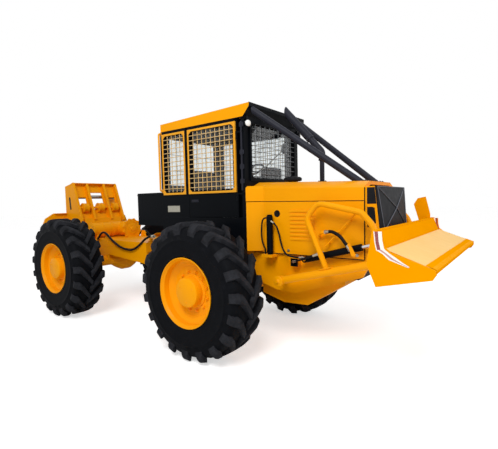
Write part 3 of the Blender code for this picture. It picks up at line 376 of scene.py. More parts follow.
# %% Metals
def metal(name, light, dark, roughness, size, depth=0.0004, metallic=1.0):
    """A bare or plated metal: two tones mottled at a real size, and a matching bump."""
    finish, tree, shader = new_finish(name, metallic=metallic, roughness=roughness)
    place = add_node(tree, "ShaderNodeTexCoord").outputs["Object"]
    mottle = add_node(tree, "ShaderNodeTexNoise", values={"Scale": 1 / size, "Detail": 4.0}, links={"Vector": place})
    colour = add_node(tree, "ShaderNodeMix", {"data_type": "RGBA"}, {6: linear(dark), 7: linear(light)},
                      {0: mottle.outputs["Fac"]})
    tree.links.new(colour.outputs[2], shader.inputs["Base Color"])
    bump = add_node(tree, "ShaderNodeBump", values={"Strength": 0.2, "Distance": depth},
                    links={"Height": mottle.outputs["Fac"]})
    tree.links.new(bump.outputs["Normal"], shader.inputs["Normal"])
    return finish


chrome = metal("hard_chrome", "#D9DADC", "#C4C6C9", 0.14, 0.050, 0.0001)
zinc = metal("zinc_plated_steel", "#C3BFAE", "#9C9A90", 0.38, 0.012)
worn_steel = metal("ground_worn_steel", "#A8A6A2", "#77746E", 0.42, 0.020)
cast_iron = metal("cast_iron", "#3C3A38", "#262423", 0.62, 0.010, 0.0012, 0.6)
guard_wire = metal("galvanised_guard_wire", "#8F9397", "#6B6F73", 0.45, 0.015, 0.0003, 0.7)
print("metals ready")

# %% [markdown]
# The panes are flat tempered glass, clear with a faint grey tint. A thin solid pane with full
# transmission bends light as the real one does, and shows the pale studio behind it.

# %% Glass, lenses and tape
window_glass = new_finish("tempered_window_glass", base_color=linear("#F0F3F3"), roughness=0.02, ior=1.45,
                          transmission_weight=1.0)[0]


def tape(name, code):
    """Reflective tape: a smooth film with a faint honeycomb of prisms, 6 mm across here."""
    finish, tree, shader = new_finish(name, roughness=0.3)
    place = add_node(tree, "ShaderNodeTexCoord").outputs["Object"]
    cells = add_node(tree, "ShaderNodeTexVoronoi", values={"Scale": 160.0}, links={"Vector": place})
    tone = add_node(tree, "ShaderNodeMix", {"data_type": "RGBA"}, {6: linear(code), 7: linear("#FFFFFF")})
    fade = add_node(tree, "ShaderNodeMapRange", values={"To Max": 0.12}, links={"Value": cells.outputs["Distance"]})
    tree.links.new(fade.outputs["Result"], tone.inputs[0])
    tree.links.new(tone.outputs[2], shader.inputs["Base Color"])
    return finish


red_tape = tape("red_reflective_tape", "#860812")
faded_red_tape = tape("faded_red_reflective_tape", "#C58E8A")
white_tape = tape("white_reflective_tape", "#F2F0EA")
lamp_lens = tape("pale_lamp_lens", "#E9EAE4")
print("glass and tape ready")

# %% [markdown]
# ## Tyres
# A forestry tyre has a smooth deep sidewall and tall lugs in a chevron. Each lug starts on the upper
# sidewall as a blunt tip, runs straight across the shoulder, then bends about 45 degrees towards the
# middle, where it leads. One side's lugs are half a pitch behind the other's. The carcass is a lathed
# ring, and each lug is a swept block sunk into it, which keeps the flanks clean and the edges crisp.

# %% Tyre sizes
lugs_per_side = 19
lug_pitch = math.tau / lugs_per_side
tyre_low, tyre_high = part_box("tyre_front_left")
tyre_half = (tyre_high[1] - tyre_low[1]) / 2
rim_low, rim_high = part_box("rim_front_left")
flange_radius = (rim_high[2] - rim_low[2]) / 2
print("tyre half width", round(tyre_half, 3), "rim radius", round(flange_radius, 3))

carcass_profile = [
    # radius, distance from the tyre's middle plane
    (flange_radius - 0.02, 0.165), (flange_radius + 0.001, 0.195), (flange_radius + 0.004, 0.212),
    (flange_radius + 0.020, 0.219), (flange_radius + 0.028, 0.2165), (flange_radius + 0.060, 0.222),
    (0.500, 0.2265), (0.545, 0.2265), (0.549, 0.2285), (0.556, 0.2285), (0.560, 0.226),
    (0.600, 0.221), (0.640, 0.209), (0.668, 0.190), (0.686, 0.155), (0.695, 0.090), (0.698, 0.0),
]

# %% Build a tyre
def lug_station(t):
    """Place along a lug, t from 0 at the outer tip to 1 past the middle: y, top radius, base radius,
    lag behind the middle, and half its width on top."""
    y = 0.2285 - 0.2385 * t
    # The shoulder is round: the lug comes down to the sidewall as it goes out
    top = tyre_radius - 0.085 * (max(y, 0.0) / 0.2285) ** 9
    base = 0.600 + 0.085 * min(t / 0.30, 1.0)
    bend = max(t - 0.30, 0.0) / 0.70
    lag = math.radians(15.5) * (1 - bend) + math.radians(1.5) * (1 - t)
    return y, top, base, lag, 0.046 - 0.014 * t


def add_lug(bm, side, start):
    """One lug of the tread: a swept block with sloping flanks."""
    stations = 15
    rings = []
    for k in range(stations):
        y, top, base, lag, half = lug_station(k / (stations - 1))
        foot = half + 0.016
        ring = []
        for offset, radius in ((-foot, base), (-half, top), (half, top), (foot, base)):
            angle = start + lag + offset / tyre_radius
            reach = y - 0.012 if radius == base and k < 4 else y
            ring.append(Vector((radius * math.cos(angle), side * reach, radius * math.sin(angle))))
        rings.append(points_ring(bm, ring))
    bridge(bm, rings)


def make_tyre(row, word, x, side):
    """One tyre: carcass with its sidewall rings, and two rows of lugs."""
    bm = bmesh.new()
    sides = 128
    section = [(r, -y) for r, y in carcass_profile] + [(r, y) for r, y in carcass_profile[-2::-1]]
    turns = [math.tau * k / sides for k in range(sides)]
    bridge(bm, [points_ring(bm, [Vector((r * math.cos(turn), y, r * math.sin(turn))) for turn in turns])
                for r, y in section], loop=True)
    carcass_faces = len(bm.faces)
    for lug_side in (1, -1):
        shift = 0.0 if lug_side == side else 0.5
        for k in range(lugs_per_side):
            add_lug(bm, lug_side, -math.pi / 2 + (k + shift) * lug_pitch)
    bm.normal_update()
    bmesh.ops.recalc_face_normals(bm, faces=bm.faces[:])
    mesh = bpy.data.meshes.new(f"tyre_{row}_{word}_tread")
    bm.to_mesh(mesh)
    bm.free()
    mesh.materials.append(sidewall_rubber)
    mesh.materials.append(lug_rubber)
    for face in mesh.polygons[carcass_faces:]:
        face.material_index = 1
    mesh.shade_smooth()
    mesh.set_sharp_from_angle(angle=math.radians(38))
    tyre = bpy.data.objects.new(mesh.name, mesh)
    tyre.location = (x, side * half_track, tyre_radius)
    bpy.context.scene.collection.objects.link(tyre)
    round_edges(tyre, 0.006)
    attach(tyre, f"wheel_{row}_{word}")
    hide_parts(f"tyre_{row}_{word}")
    return tyre


# %% [markdown]
# ## Rims
# The rim is a rolled steel barrel with a flange each side. A dished disc is welded in it, and the hub
# reduction fills its middle: a drum that stands out almost to the flange, with a ring of nuts round its
# foot. All of it is turned, so one lathed profile gives the dish its steps, and the nuts go round by a loop.

# %% Build a rim
def make_rim(row, word, x, side):
    """One rim with its disc, hub drum, nuts and valve."""
    bm = bmesh.new()
    centre = Vector((x, side * half_track, tyre_radius))
    out = Vector((0, side, 0))
    barrel = flange_radius - 0.030
    dish = [
        # radius, distance out from the wheel's middle
        (0.0, 0.196), (0.140, 0.196), (0.152, 0.190), (0.158, 0.178), (0.158, 0.105), (0.166, 0.098),
        (0.182, 0.094), (0.182, 0.084), (0.275, 0.082), (0.300, 0.096), (0.318, 0.112), (0.330, 0.116),
        (barrel - 0.004, 0.124), (barrel, 0.190), (flange_radius - 0.014, 0.210), (flange_radius - 0.008, 0.222),
        (flange_radius, 0.2225), (flange_radius + 0.001, 0.214), (flange_radius - 0.012, 0.204),
        (barrel + 0.006, 0.180), (barrel + 0.004, -0.180), (flange_radius - 0.012, -0.204),
        (flange_radius + 0.001, -0.214), (flange_radius, -0.2225), (flange_radius - 0.010, -0.220),
        (barrel, -0.190), (barrel, 0.060), (0.300, 0.070), (0.160, 0.060), (0.145, 0.0), (0.145, -0.05), (0.0, -0.05),
    ]
    lathe(bm, dish, centre, out, 72)
    nuts = 12
    for k in range(nuts):
        angle = math.tau * (k + 0.5) / nuts
        foot = centre + out * 0.083 + 0.212 * Vector((math.cos(angle), 0, math.sin(angle)))
        bar(bm, foot, foot + out * 0.016, 0.015, 6)
        bar(bm, foot, foot + out * 0.030, 0.008, 10)
    valve = centre + out * 0.10 + 0.320 * Vector((math.cos(0.6), 0, math.sin(0.6)))
    bar(bm, valve, valve + out * 0.05, 0.006, 10)
    for k in range(3):
        angle = math.tau * k / 3 + 0.5
        plug = centre + out * 0.195 + 0.105 * Vector((math.cos(angle), 0, math.sin(angle)))
        bar(bm, plug, plug + out * 0.006, 0.012, 6)
    rim = make_piece(f"rim_{row}_{word}_dish", bm, yellow_enamel, f"wheel_{row}_{word}", 0.002, 40)
    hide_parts(f"rim_{row}_{word}")
    return rim


# %% Put the four wheels on
for row, axle_x in (("front", front_axle_x), ("rear", rear_axle_x)):
    for word, side in (("left", 1), ("right", -1)):
        tyre = make_tyre(row, word, axle_x, side)
        rim = make_rim(row, word, axle_x, side)
        print(tyre.name, len(tyre.data.polygons), "faces;", rim.name, len(rim.data.polygons), "faces")

# %% [markdown]
# ## Finishes on the model's own solids
# Where a solid already has the right shape it stays, with a real finish on it and its edges rounded by
# 3 mm, as burred plate is. The hoses keep their round section and need no rounding.

# %% Dress the solids that stay
finishes_by_slot = {
    "yellow_paint": yellow_enamel, "black_paint": black_enamel, "grey_paint": charcoal_enamel,
    "tyre_rubber": sidewall_rubber, "hose_rubber": hose_rubber, "chrome_rod": chrome,
    "seat_cloth": seat_cloth, "engine_iron": cast_iron,
}
slot_of = {part["node"]: part["material_slot"] for part in frame["record"]["subparts"]}
own_finishes = {"grille_screen": screen_enamel, "blade": blade_enamel}
for node_name, solid in frame["nodes"].items():
    finish = own_finishes.get(node_name, finishes_by_slot[slot_of[node_name]])
    for holder in solid.material_slots:
        holder.material = finish
    if slot_of[node_name] != "hose_rubber":
        round_edges(solid, 0.003)
print("dressed", len(slot_of), "solids")

# %% [markdown]
# ## Window guards
# A skidder's windows are guarded against whipping branches. Each guard is a mitred angle-iron frame with
# a welded mesh behind it, of 8 mm wire at the sides and 6 mm wire at the front and rear, and a gusset in
# each corner. The same tools make the yellow side guards and the grey front one: a place function turns
# window coordinates into a point.

# %% Guard tools
cab_half = 0.578


def rect_frame(bm, place, u_span, v_span, width, depth_span):
    """A mitred rectangular frame, its outer edge at the spans."""
    rings = []
    for u, v, along_u, along_v in ((u_span[0], v_span[0], 1, 1), (u_span[1], v_span[0], -1, 1),
                                   (u_span[1], v_span[1], -1, -1), (u_span[0], v_span[1], 1, -1)):
        inner_u, inner_v = u + along_u * width, v + along_v * width
        rings.append(points_ring(bm, [place(u, v, depth_span[0]), place(u, v, depth_span[1]),
                                      place(inner_u, inner_v, depth_span[1]), place(inner_u, inner_v, depth_span[0])]))
    bridge(bm, rings, loop=True)


def wire_grid(bm, place, u_span, v_span, columns, rows, depth, radius=0.003):
    """Welded mesh: upright wires, and level wires that lie on them."""
    for k in range(1, columns):
        u = u_span[0] + (u_span[1] - u_span[0]) * k / columns
        bar(bm, place(u, v_span[0], depth), place(u, v_span[1], depth), radius, 8)
    for k in range(1, rows):
        v = v_span[0] + (v_span[1] - v_span[0]) * k / rows
        bar(bm, place(u_span[0], v, depth + 1.7 * radius), place(u_span[1], v, depth + 1.7 * radius), radius, 8)


def gussets(bm, place, u_span, v_span, size, depth_span):
    """A small triangle of plate and a bolt in each corner of a frame."""
    for u, v, along_u, along_v in ((u_span[0], v_span[0], 1, 1), (u_span[1], v_span[0], -1, 1),
                                   (u_span[1], v_span[1], -1, -1), (u_span[0], v_span[1], 1, -1)):
        outline = [(u, v), (u + along_u * size, v), (u, v + along_v * size)]
        bridge(bm, [points_ring(bm, [place(a, b, depth) for a, b in outline]) for depth in depth_span])
        bolt_u, bolt_v, plate_face = u + along_u * 0.3 * size, v + along_v * 0.3 * size, depth_span[1]
        bar(bm, place(bolt_u, bolt_v, plate_face), place(bolt_u, bolt_v, plate_face + 0.005), 0.008, 6)


def side_place(side):
    """Window coordinates of a side wall: along the machine, up, and out from its middle."""
    return lambda x, z, y: at(x, side * y, z)


def front_place(y, z, x):
    """Window coordinates of the front wall: across, up, and forward."""
    return at(x, y, z)


def inset(span, margin):
    """A span with a margin taken off each end."""
    return span[0] + margin, span[1] - margin


# %% Side guards, seals and panes
guard_z_span = (1.7815, 2.5640)
for word, side in (("left", 1), ("right", -1)):
    place = side_place(side)
    for kind, body, x_span, columns, rows in (
            ("door", f"door_{word}_body", (-0.5415, 0.2165), 10, 13),
            ("side", "front_frame", (-1.0162, -0.5900), 5, 13)):
        bm = bmesh.new()
        rect_frame(bm, place, x_span, guard_z_span, 0.025, (cab_half + 0.0005, cab_half + 0.0205))
        gussets(bm, place, inset(x_span, 0.022), inset(guard_z_span, 0.022), 0.040,
                (cab_half + 0.014, cab_half + 0.019))
        make_piece(f"{kind}_guard_{word}", bm, yellow_guard_enamel, body, 0.0015, 40)
        bm = bmesh.new()
        wire_grid(bm, place, inset(x_span, 0.020), inset(guard_z_span, 0.020), columns, rows, cab_half + 0.008,
                  0.0042)
        make_piece(f"{kind}_guard_wires_{word}", bm, pale_wire_enamel, body, 0)
        bm = bmesh.new()
        rect_frame(bm, place, inset(x_span, 0.016), (1.806, 2.558), 0.022, (cab_half - 0.030, cab_half - 0.010))
        make_piece(f"{kind}_window_seal_{word}", bm, seal_rubber, body, 0.003)
        bm = bmesh.new()
        side_block(bm, side, inset(x_span, 0.020), (cab_half - 0.023, cab_half - 0.018), (1.810, 2.554))
        make_piece(f"{kind}_pane_{word}", bm, window_glass, body, 0)

# %% Front and rear guards and panes
for wall, x_wall, out, z_low in (("front", 0.335, 1, 1.905), ("rear", -1.07, -1, 1.875)):
    bm = bmesh.new()
    depths = sorted((x_wall + out * 0.001, x_wall + out * 0.018))
    rect_frame(bm, front_place, (-0.495, 0.495), (z_low, 2.572), 0.030, depths)
    gussets(bm, front_place, (-0.470, 0.470), (z_low + 0.025, 2.547), 0.04,
            (x_wall + out * 0.014, x_wall + out * 0.019))
    make_piece(f"{wall}_guard_frame", bm, black_enamel, "front_frame", 0.0015)
    bm = bmesh.new()
    columns, rows = (10, 10) if wall == "front" else (5, 3)
    wire_grid(bm, front_place, (-0.475, 0.475), (z_low + 0.02, 2.552), columns, rows,
              x_wall + out * 0.008 - 0.0025)
    make_piece(f"{wall}_guard_wires", bm, guard_wire, "front_frame", 0)
    bm = bmesh.new()
    rect_frame(bm, front_place, (-0.468, 0.468), (z_low + 0.015, 2.560), 0.024,
               sorted((x_wall - out * 0.034, x_wall - out * 0.012)))
    make_piece(f"{wall}_window_seal", bm, seal_rubber, "front_frame", 0.003)
    bm = bmesh.new()
    pane_depths = sorted((x_wall - out * 0.026, x_wall - out * 0.020))
    block(bm, at(pane_depths[0], -0.462, z_low + 0.022), at(pane_depths[1], 0.462, 2.553))
    make_piece(f"{wall}_pane", bm, window_glass, "front_frame", 0)
print("front and rear windows ready")

# %% [markdown]
# ## Cab trim
# The roof is a folded yellow tray with a black visor across its front. Handrails run up the rear
# corners, a pillar strip carries the guard's hinges, and two round work lamps look forward under the
# roof. A small bare plate is riveted to the panel below the side window.

# %% Roof visor, drip rails and ribs
bm = bmesh.new()
visor = [(0.331, 2.5990), (0.337, 2.5945), (0.4255, 2.6975), (0.4255, 2.7375), (0.4135, 2.7390), (0.4135, 2.7345),
         (0.4205, 2.7335), (0.4205, 2.6995)]
plate(bm, visor, -0.6015, 0.6015)
block(bm, at(0.3355, -0.585, 2.5735), at(0.349, 0.585, 2.6065))
make_piece("roof_visor", bm, black_enamel, "front_frame", 0.002)

bm = bmesh.new()
for side in (1, -1):
    side_block(bm, side, (-1.025, 0.330), (cab_half - 0.001, cab_half + 0.017), (2.5910, 2.5995))
make_piece("roof_drip_rails", bm, black_enamel, "front_frame", 0.0015)

bm = bmesh.new()
for y in (-0.36, -0.12, 0.12, 0.36):
    rib = [(-0.98, 2.692), (0.37, 2.730), (0.37, 2.742), (-0.98, 2.704)]
    plate(bm, rib, y - 0.03, y + 0.03)
make_piece("roof_ribs", bm, yellow_enamel, "front_frame", 0.004)

bm = bmesh.new()
block(bm, at(-1.015, -0.52, 2.586), at(0.285, 0.52, 2.5985))
make_piece("roof_lining", bm, black_plastic, "front_frame", 0.004)

# %% Handrails, pillar strips, lamps and plates
bm = bmesh.new()
for side in (1, -1):
    route = [at(-1.045, side * 0.565, 2.58), at(-1.045, side * 0.62, 2.58), at(-1.045, side * 0.62, 1.835),
             at(-1.045, side * 0.565, 1.835)]
    sweep(bm, rounded_path(route, 0.03), 0.0125, 14)
    for z in (1.835, 2.58):
        bar(bm, at(-1.045, side * (cab_half - 0.002), z), at(-1.045, side * (cab_half + 0.006), z), 0.026, 20)
make_piece("cab_handrails", bm, yellow_guard_enamel, "front_frame", 0.001)

bm = bmesh.new()
for side in (1, -1):
    bar(bm, at(0.296, side * 0.583, 1.80), at(0.296, side * 0.583, 2.555), 0.011, 16)
    for z in (1.90, 2.06, 2.22, 2.52):
        side_block(bm, side, (0.268, 0.326), (cab_half - 0.002, cab_half + 0.008), (z - 0.022, z + 0.022))
        bar(bm, at(0.296, side * 0.583, z - 0.028), at(0.296, side * 0.583, z + 0.028), 0.015, 16)
make_piece("pillar_strips", bm, charcoal_enamel, "front_frame", 0.0015)

lens_profile = [(0.0, 0.012), (0.014, 0.0115), (0.026, 0.009), (0.034, 0.003), (0.036, -0.004), (0.0, -0.004)]
case_profile = [(0.0, -0.045), (0.020, -0.043), (0.034, -0.030), (0.043, -0.004), (0.0435, 0.005),
                (0.036, 0.006), (0.034, -0.003), (0.0, -0.004)]
bm = bmesh.new()
for side in (1, -1):
    lathe(bm, lens_profile, at(0.380, side * 0.566, 2.524), (1, 0.5 * side, 0), 32)
make_piece("work_lamp_lenses", bm, lamp_lens, "front_frame", 0)

bm = bmesh.new()
for side in (1, -1):
    lathe(bm, case_profile, at(0.380, side * 0.566, 2.524), (1, 0.5 * side, 0), 32)
    bar(bm, at(0.363, side * 0.557, 2.545), at(0.363, side * 0.557, 2.6050), 0.008, 10)
make_piece("work_lamp_rims", bm, black_plastic, "front_frame", 0.001)

bm = bmesh.new()
side_block(bm, -1, (-0.96, -0.73), (cab_half + 0.0003, cab_half + 0.003), (1.56, 1.64))
for x in (-0.948, -0.742):
    for z in (1.572, 1.628):
        bar(bm, at(x, -cab_half, z), at(x, -cab_half - 0.0045, z), 0.0035, 8)
make_piece("bare_cab_plate", bm, zinc, "front_frame", 0.001)

# %% Door handles, hinges and latches
for word, side in (("left", 1), ("right", -1)):
    bm = bmesh.new()
    side_block(bm, side, (-0.512, -0.392), (cab_half + 0.0003, cab_half + 0.004), (1.678, 1.712))
    side_block(bm, side, (-0.500, -0.412), (cab_half + 0.003, cab_half + 0.010), (1.688, 1.704))
    lock = at(-0.402, side * (cab_half + 0.002), 1.696)
    bar(bm, lock, lock + Vector((0, side * 0.007, 0)), 0.008, 16)
    make_piece(f"door_handle_{word}", bm, charcoal_enamel, f"door_{word}_body", 0.0015)
    bm = bmesh.new()
    for z in (1.95, 2.42):
        side_block(bm, side, (-0.575, -0.556), (cab_half + 0.004, cab_half + 0.020), (z - 0.03, z + 0.03))
        pin_foot = at(-0.556, side * (cab_half + 0.014), z - 0.03)
        bar(bm, pin_foot, pin_foot + Vector((0, 0, 0.06)), 0.007, 12)
    make_piece(f"guard_latches_{word}", bm, black_enamel, "front_frame", 0.0015)

bm = bmesh.new()
block(bm, at(-1.604, -0.584, 1.786), at(-1.075, 0.584, 1.797))
for y in (-0.35, 0.35):
    block(bm, at(-1.612, y - 0.03, 1.70), at(-1.599, y + 0.03, 1.80))
    bar(bm, at(-1.608, y - 0.035, 1.79), at(-1.608, y + 0.035, 1.79), 0.008, 12)
bar(bm, at(-1.34, -0.30, 1.815), at(-1.34, -0.30, 1.845), 0.045, 28)
bar(bm, at(-1.34, -0.30, 1.843), at(-1.34, -0.30, 1.853), 0.050, 14)
make_piece("tank_box_lid_bead", bm, black_enamel, "front_frame", 0.002)
print("cab trim ready")

# %% [markdown]
# ## Driver's seat
# The seat is two pads of foam under woven cloth. A pad is made as it is in real life: a sewn cover that
# is filled until it swells. The block is remeshed into even 6 mm cells, Cloth pressure blows it up, and
# a limit on how far a point may go keeps it to its frame. The channels are pressed in afterwards,
# because remeshing would wipe them out.

# %% Pads
def freeze(thing):
    """The object's evaluated mesh takes the place of its mesh and modifiers."""
    final = bpy.data.meshes.new_from_object(thing.evaluated_get(bpy.context.evaluated_depsgraph_get()))
    thing.modifiers.clear()
    thing.data = final


def sewn_pad(name, size, centre, lean, out_axis, swell=0.024):
    """A swollen pad with sewn channels on the face that points along out_axis (0 for x, 2 for z)."""
    half = Vector(size) / 2
    bm = bmesh.new()
    block(bm, -half, half)
    bmesh.ops.bevel(bm, geom=bm.edges[:], offset=0.028, segments=3, profile=0.6, affect="EDGES")
    mesh = bpy.data.meshes.new(name)
    bm.to_mesh(mesh)
    bm.free()
    pad = bpy.data.objects.new(name, mesh)
    bpy.context.scene.collection.objects.link(pad)
    skin = pad.modifiers.new("even_skin", "REMESH")
    skin.mode = "VOXEL"
    skin.voxel_size = 0.006
    freeze(pad)
    before = [vertex.co.copy() for vertex in pad.data.vertices]
    air = pad.modifiers.new("air", "CLOTH")
    air.settings.use_pressure = True
    air.settings.uniform_pressure_force = 4.0
    air.settings.effector_weights.gravity = 0.0
    for step in range(1, 21):
        bpy.context.scene.frame_set(step)
    freeze(pad)
    bpy.context.scene.frame_set(1)
    for vertex, start in zip(pad.data.vertices, before):
        move = vertex.co - start
        if move.length > swell:
            vertex.co = start + move.normalized() * swell
    for vertex in pad.data.vertices:
        place = vertex.co
        # The underside lies flat on the seat's pan
        place[out_axis] = max(place[out_axis], -half[out_axis])
        if place[out_axis] > 0:
            for line in (-0.12, 0.0, 0.12):
                place[out_axis] -= 0.007 * math.exp(-((place.y - line) / 0.008) ** 2)
    pad.data.transform(Matrix.Translation(centre) @ Matrix.Rotation(math.radians(lean), 4, "Y"))
    pad.data.materials.clear()
    pad.data.materials.append(seat_cloth)
    pad.data.shade_smooth()
    finer = pad.modifiers.new("finer", "SUBSURF")
    finer.levels = finer.render_levels = 1
    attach(pad, "front_frame")
    return pad


seat_pad = sewn_pad("seat_pad", (0.47, 0.43, 0.085), at(-0.520, 0, 1.555), 3, 2)
back_pad = sewn_pad("seat_back_pad", (0.075, 0.42, 0.47), at(-0.798, 0, 1.875), -10, 0)
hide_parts("seat_cushion")
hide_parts("seat_cushion")

bm = bmesh.new()
shell = [(-0.780, 1.500), (-0.280, 1.500), (-0.272, 1.506), (-0.272, 1.522), (-0.775, 1.518), (-0.805, 1.60),
         (-0.890, 2.120), (-0.905, 2.118), (-0.825, 1.575)]
plate(bm, shell, -0.215, 0.215)
make_piece("seat_shell", bm, black_plastic, "front_frame", 0.006)

# %% Controls behind the windscreen
bm = bmesh.new()
hood_shape = [(0.155, 1.955), (0.262, 1.940), (0.262, 2.085), (0.205, 2.098), (0.165, 2.060)]
plate(bm, hood_shape, -0.05, 0.285)
for y in (0.02, 0.115, 0.21):
    bar(bm, at(0.168, y, 2.010), at(0.156, y, 2.006), 0.034, 28)
make_piece("instrument_hood", bm, black_plastic, "front_frame", 0.006)

bm = bmesh.new()
arm_route = [at(0.215, -0.10, 2.050), at(0.225, 0.02, 2.120), at(0.235, 0.18, 2.225), at(0.240, 0.35, 2.330)]
sweep(bm, smooth_path(arm_route, 6), 0.0075, 12)
make_piece("mirror_arm", bm, zinc, "front_frame", 0)
# The mirror's back is an oval, and leans with its arm
bm = bmesh.new()
oval_sides = 28
long_way, short_way = Vector((0, 0.80, 0.60)), Vector((0, -0.60, 0.80))
rings = []
for shift, grow in ((-0.010, 0.85), (-0.004, 1.0), (0.006, 1.0), (0.010, 0.9)):
    turns = [math.tau * k / oval_sides for k in range(oval_sides)]
    rings.append(points_ring(bm, [at(0.240 + shift, 0.400, 2.362) + long_way * 0.092 * grow * math.cos(turn)
                                  + short_way * 0.062 * grow * math.sin(turn) for turn in turns]))
bridge(bm, rings)
make_piece("mirror_back", bm, black_plastic, "front_frame", 0)

bm = bmesh.new()
for y, x in ((-0.30, -0.36), (-0.30, -0.42), (-0.30, -0.48), (0.30, -0.40)):
    bar(bm, at(x, y, 1.175), at(x + 0.02, y, 1.720), 0.008, 12)
    lathe(bm, [(0.0, 0.0), (0.014, 0.004), (0.022, 0.018), (0.023, 0.034), (0.015, 0.050), (0.0, 0.054)],
          at(x + 0.02, y, 1.712), (0, 0, 1), 24)
for side in (1, -1):
    side_block(bm, side, (-0.52, -0.32), (0.262, 0.338), (1.1705, 1.52))
make_piece("side_levers", bm, black_plastic, "front_frame", 0.003)

bm = bmesh.new()
hub = at(-0.045, 0, 2.06)
column_lean = Vector((-0.10, 0, 0.26)).normalized()
lathe(bm, [(0.0, -0.030), (0.030, -0.030), (0.045, -0.012), (0.045, 0.006), (0.030, 0.018), (0.0, 0.022)], hub,
      column_lean, 32)
make_piece("steering_hub", bm, black_plastic, "front_frame", 0.002)
print("seat", len(seat_pad.data.vertices), "back", len(back_pad.data.vertices), "points")

# %% [markdown]
# ## Hood
# The hood's top is one folded cover that laps over the side panels. Below its edge a black strip is a
# painted shadow line. A round hole in each side panel gives access to the engine, and a flare at the rear
# widens the hood to the cab.

# %% Hood cover, seams, painted shadow line and holes
hood_rear, hood_front = 0.337, 1.619


def hood_line(x):
    """Height of the hood's shoulder at x."""
    return 1.84 + (x - 0.335) / (1.62 - 0.335) * (1.795 - 1.84)


def cover_ring(x, grow):
    """Half a millimetre or more outside the hood, from one lower edge of the cover to the other."""
    half, top = 0.46 + grow, hood_line(x) + grow
    low = 1.674 - 0.010 * (x - hood_rear)
    right = [(-half, low), (-half, top - 0.02), (-half + 0.03, top), (-half + 0.14, top + 0.045)]
    return [at(x, y, z) for y, z in right + [(-y, z) for y, z in right[::-1]]]


bm = bmesh.new()
bridge(bm, [points_ring(bm, cover_ring(x, 0.0045) + cover_ring(x, 0.0003)[::-1])
            for x in (hood_rear, 0.98, hood_front)])
make_piece("hood_cover", bm, yellow_enamel, "front_frame", 0.0015, 30)

# Black strips in window seal rubber: the one just below the cover's edge is a painted shadow line, the upright one is
# the joint at the nose, and a low one runs along the hood's foot.
bm = bmesh.new()
for side in (1, -1):
    painted_shadow_strip = [(hood_rear, 1.667), (hood_front, 1.654), (hood_front, 1.661), (hood_rear, 1.674)]
    y_low, y_high = sorted((side * 0.459, side * 0.4608))
    plate(bm, painted_shadow_strip, y_low, y_high)
    side_block(bm, side, (hood_front - 0.002, hood_front + 0.004), (0.440, 0.4606), (1.105, 1.78))
    block_low = (hood_rear, hood_front - 0.01)
    side_block(bm, side, block_low, (0.400, 0.4570), (1.1005, 1.1095))
make_piece("hood_seams_and_painted_shadow", bm, seal_rubber, "front_frame", 0)

bm = bmesh.new()
for side in (1, -1):
    grommet = [(0.0, 0.0006), (0.030, 0.0006), (0.0335, 0.0025), (0.037, 0.0020), (0.038, 0.0)]
    lathe(bm, grommet, at(0.664, side * 0.46, 1.537), (0, side, 0), 40)
make_piece("hood_hole_grommets", bm, seal_rubber, "front_frame", 0)

bm = bmesh.new()
for side in (1, -1):
    for x in (0.45, 0.80, 1.20, 1.55):
        bar(bm, at(x, side * 0.459, 1.145), at(x, side * 0.4665, 1.145), 0.010, 6)
        bar(bm, at(x, side * 0.459, 1.145), at(x, side * 0.4625, 1.145), 0.016, 20)
make_piece("hood_bolts", bm, zinc, "front_frame", 0.001)

# %% Nose ducts and screen ribs
bm = bmesh.new()
for side in (1, -1):
    side_block(bm, side, (1.6215, 1.700), (0.396, 0.404), (1.18, 1.754))
    for k in range(11):
        z = 1.22 + 0.05 * k
        side_block(bm, side, (1.630, 1.690), (0.403, 0.409), (z, z + 0.006))
block(bm, at(1.6215, -0.404, 1.18), at(1.632, 0.404, 1.754))
make_piece("radiator_sides", bm, black_enamel, "front_frame", 0.001)

# Each opening is closed by a solid black plate, painted shade for the dark hollow behind, with the gauze's bars laid on
# it.
bm = bmesh.new()
nose_windows = [
    # The upper opening runs to the screen, the lower one stops at a slanting strip
    [(1.640, 1.779), (1.7105, 1.779), (1.7265, 1.628), (1.640, 1.628)],
    [(1.640, 1.601), (1.7105, 1.593), (1.7230, 1.452), (1.653, 1.412)],
]
for side in (1, -1):
    y_low, y_high = sorted((side * 0.4440, side * 0.4466))
    for outline in nose_windows:
        plate(bm, outline, y_low, y_high)
        middle_x = sum(x for x, z in outline) / 4
        middle_z = sum(z for x, z in outline) / 4
        for k in range(-3, 4):
            side_block(bm, side, (middle_x - 0.030, middle_x + 0.030), (0.4460, 0.4476),
                       (middle_z + 0.019 * k - 0.003, middle_z + 0.019 * k + 0.003))
make_piece("nose_side_gauze_on_painted_shade", bm, black_plastic, "front_frame", 0.0006)

bm = bmesh.new()
for side in (1, -1):
    for low, high, skin in ((1.125, 1.6665, 0.0), (1.6745, None, 0.0045)):
        rings = []
        for x, half in ((0.3354, 0.5755), (0.3600, 0.5600), (0.4920, 0.4610)):
            shoulder = hood_line(x)
            if high is None:
                section = [(half + skin, low), (half + skin, shoulder - 0.016), (half - 0.030, shoulder + 0.004),
                           (0.400, shoulder + 0.004), (0.400, low)]
            else:
                section = [(half, low), (half, high), (0.500 * half + 0.22, high), (0.400, high), (0.400, low)]
            rings.append(points_ring(bm, [at(x, side * y, z) for y, z in section]))
        bridge(bm, rings)
make_piece("hood_rear_flares", bm, yellow_enamel, "front_frame", 0.0015)

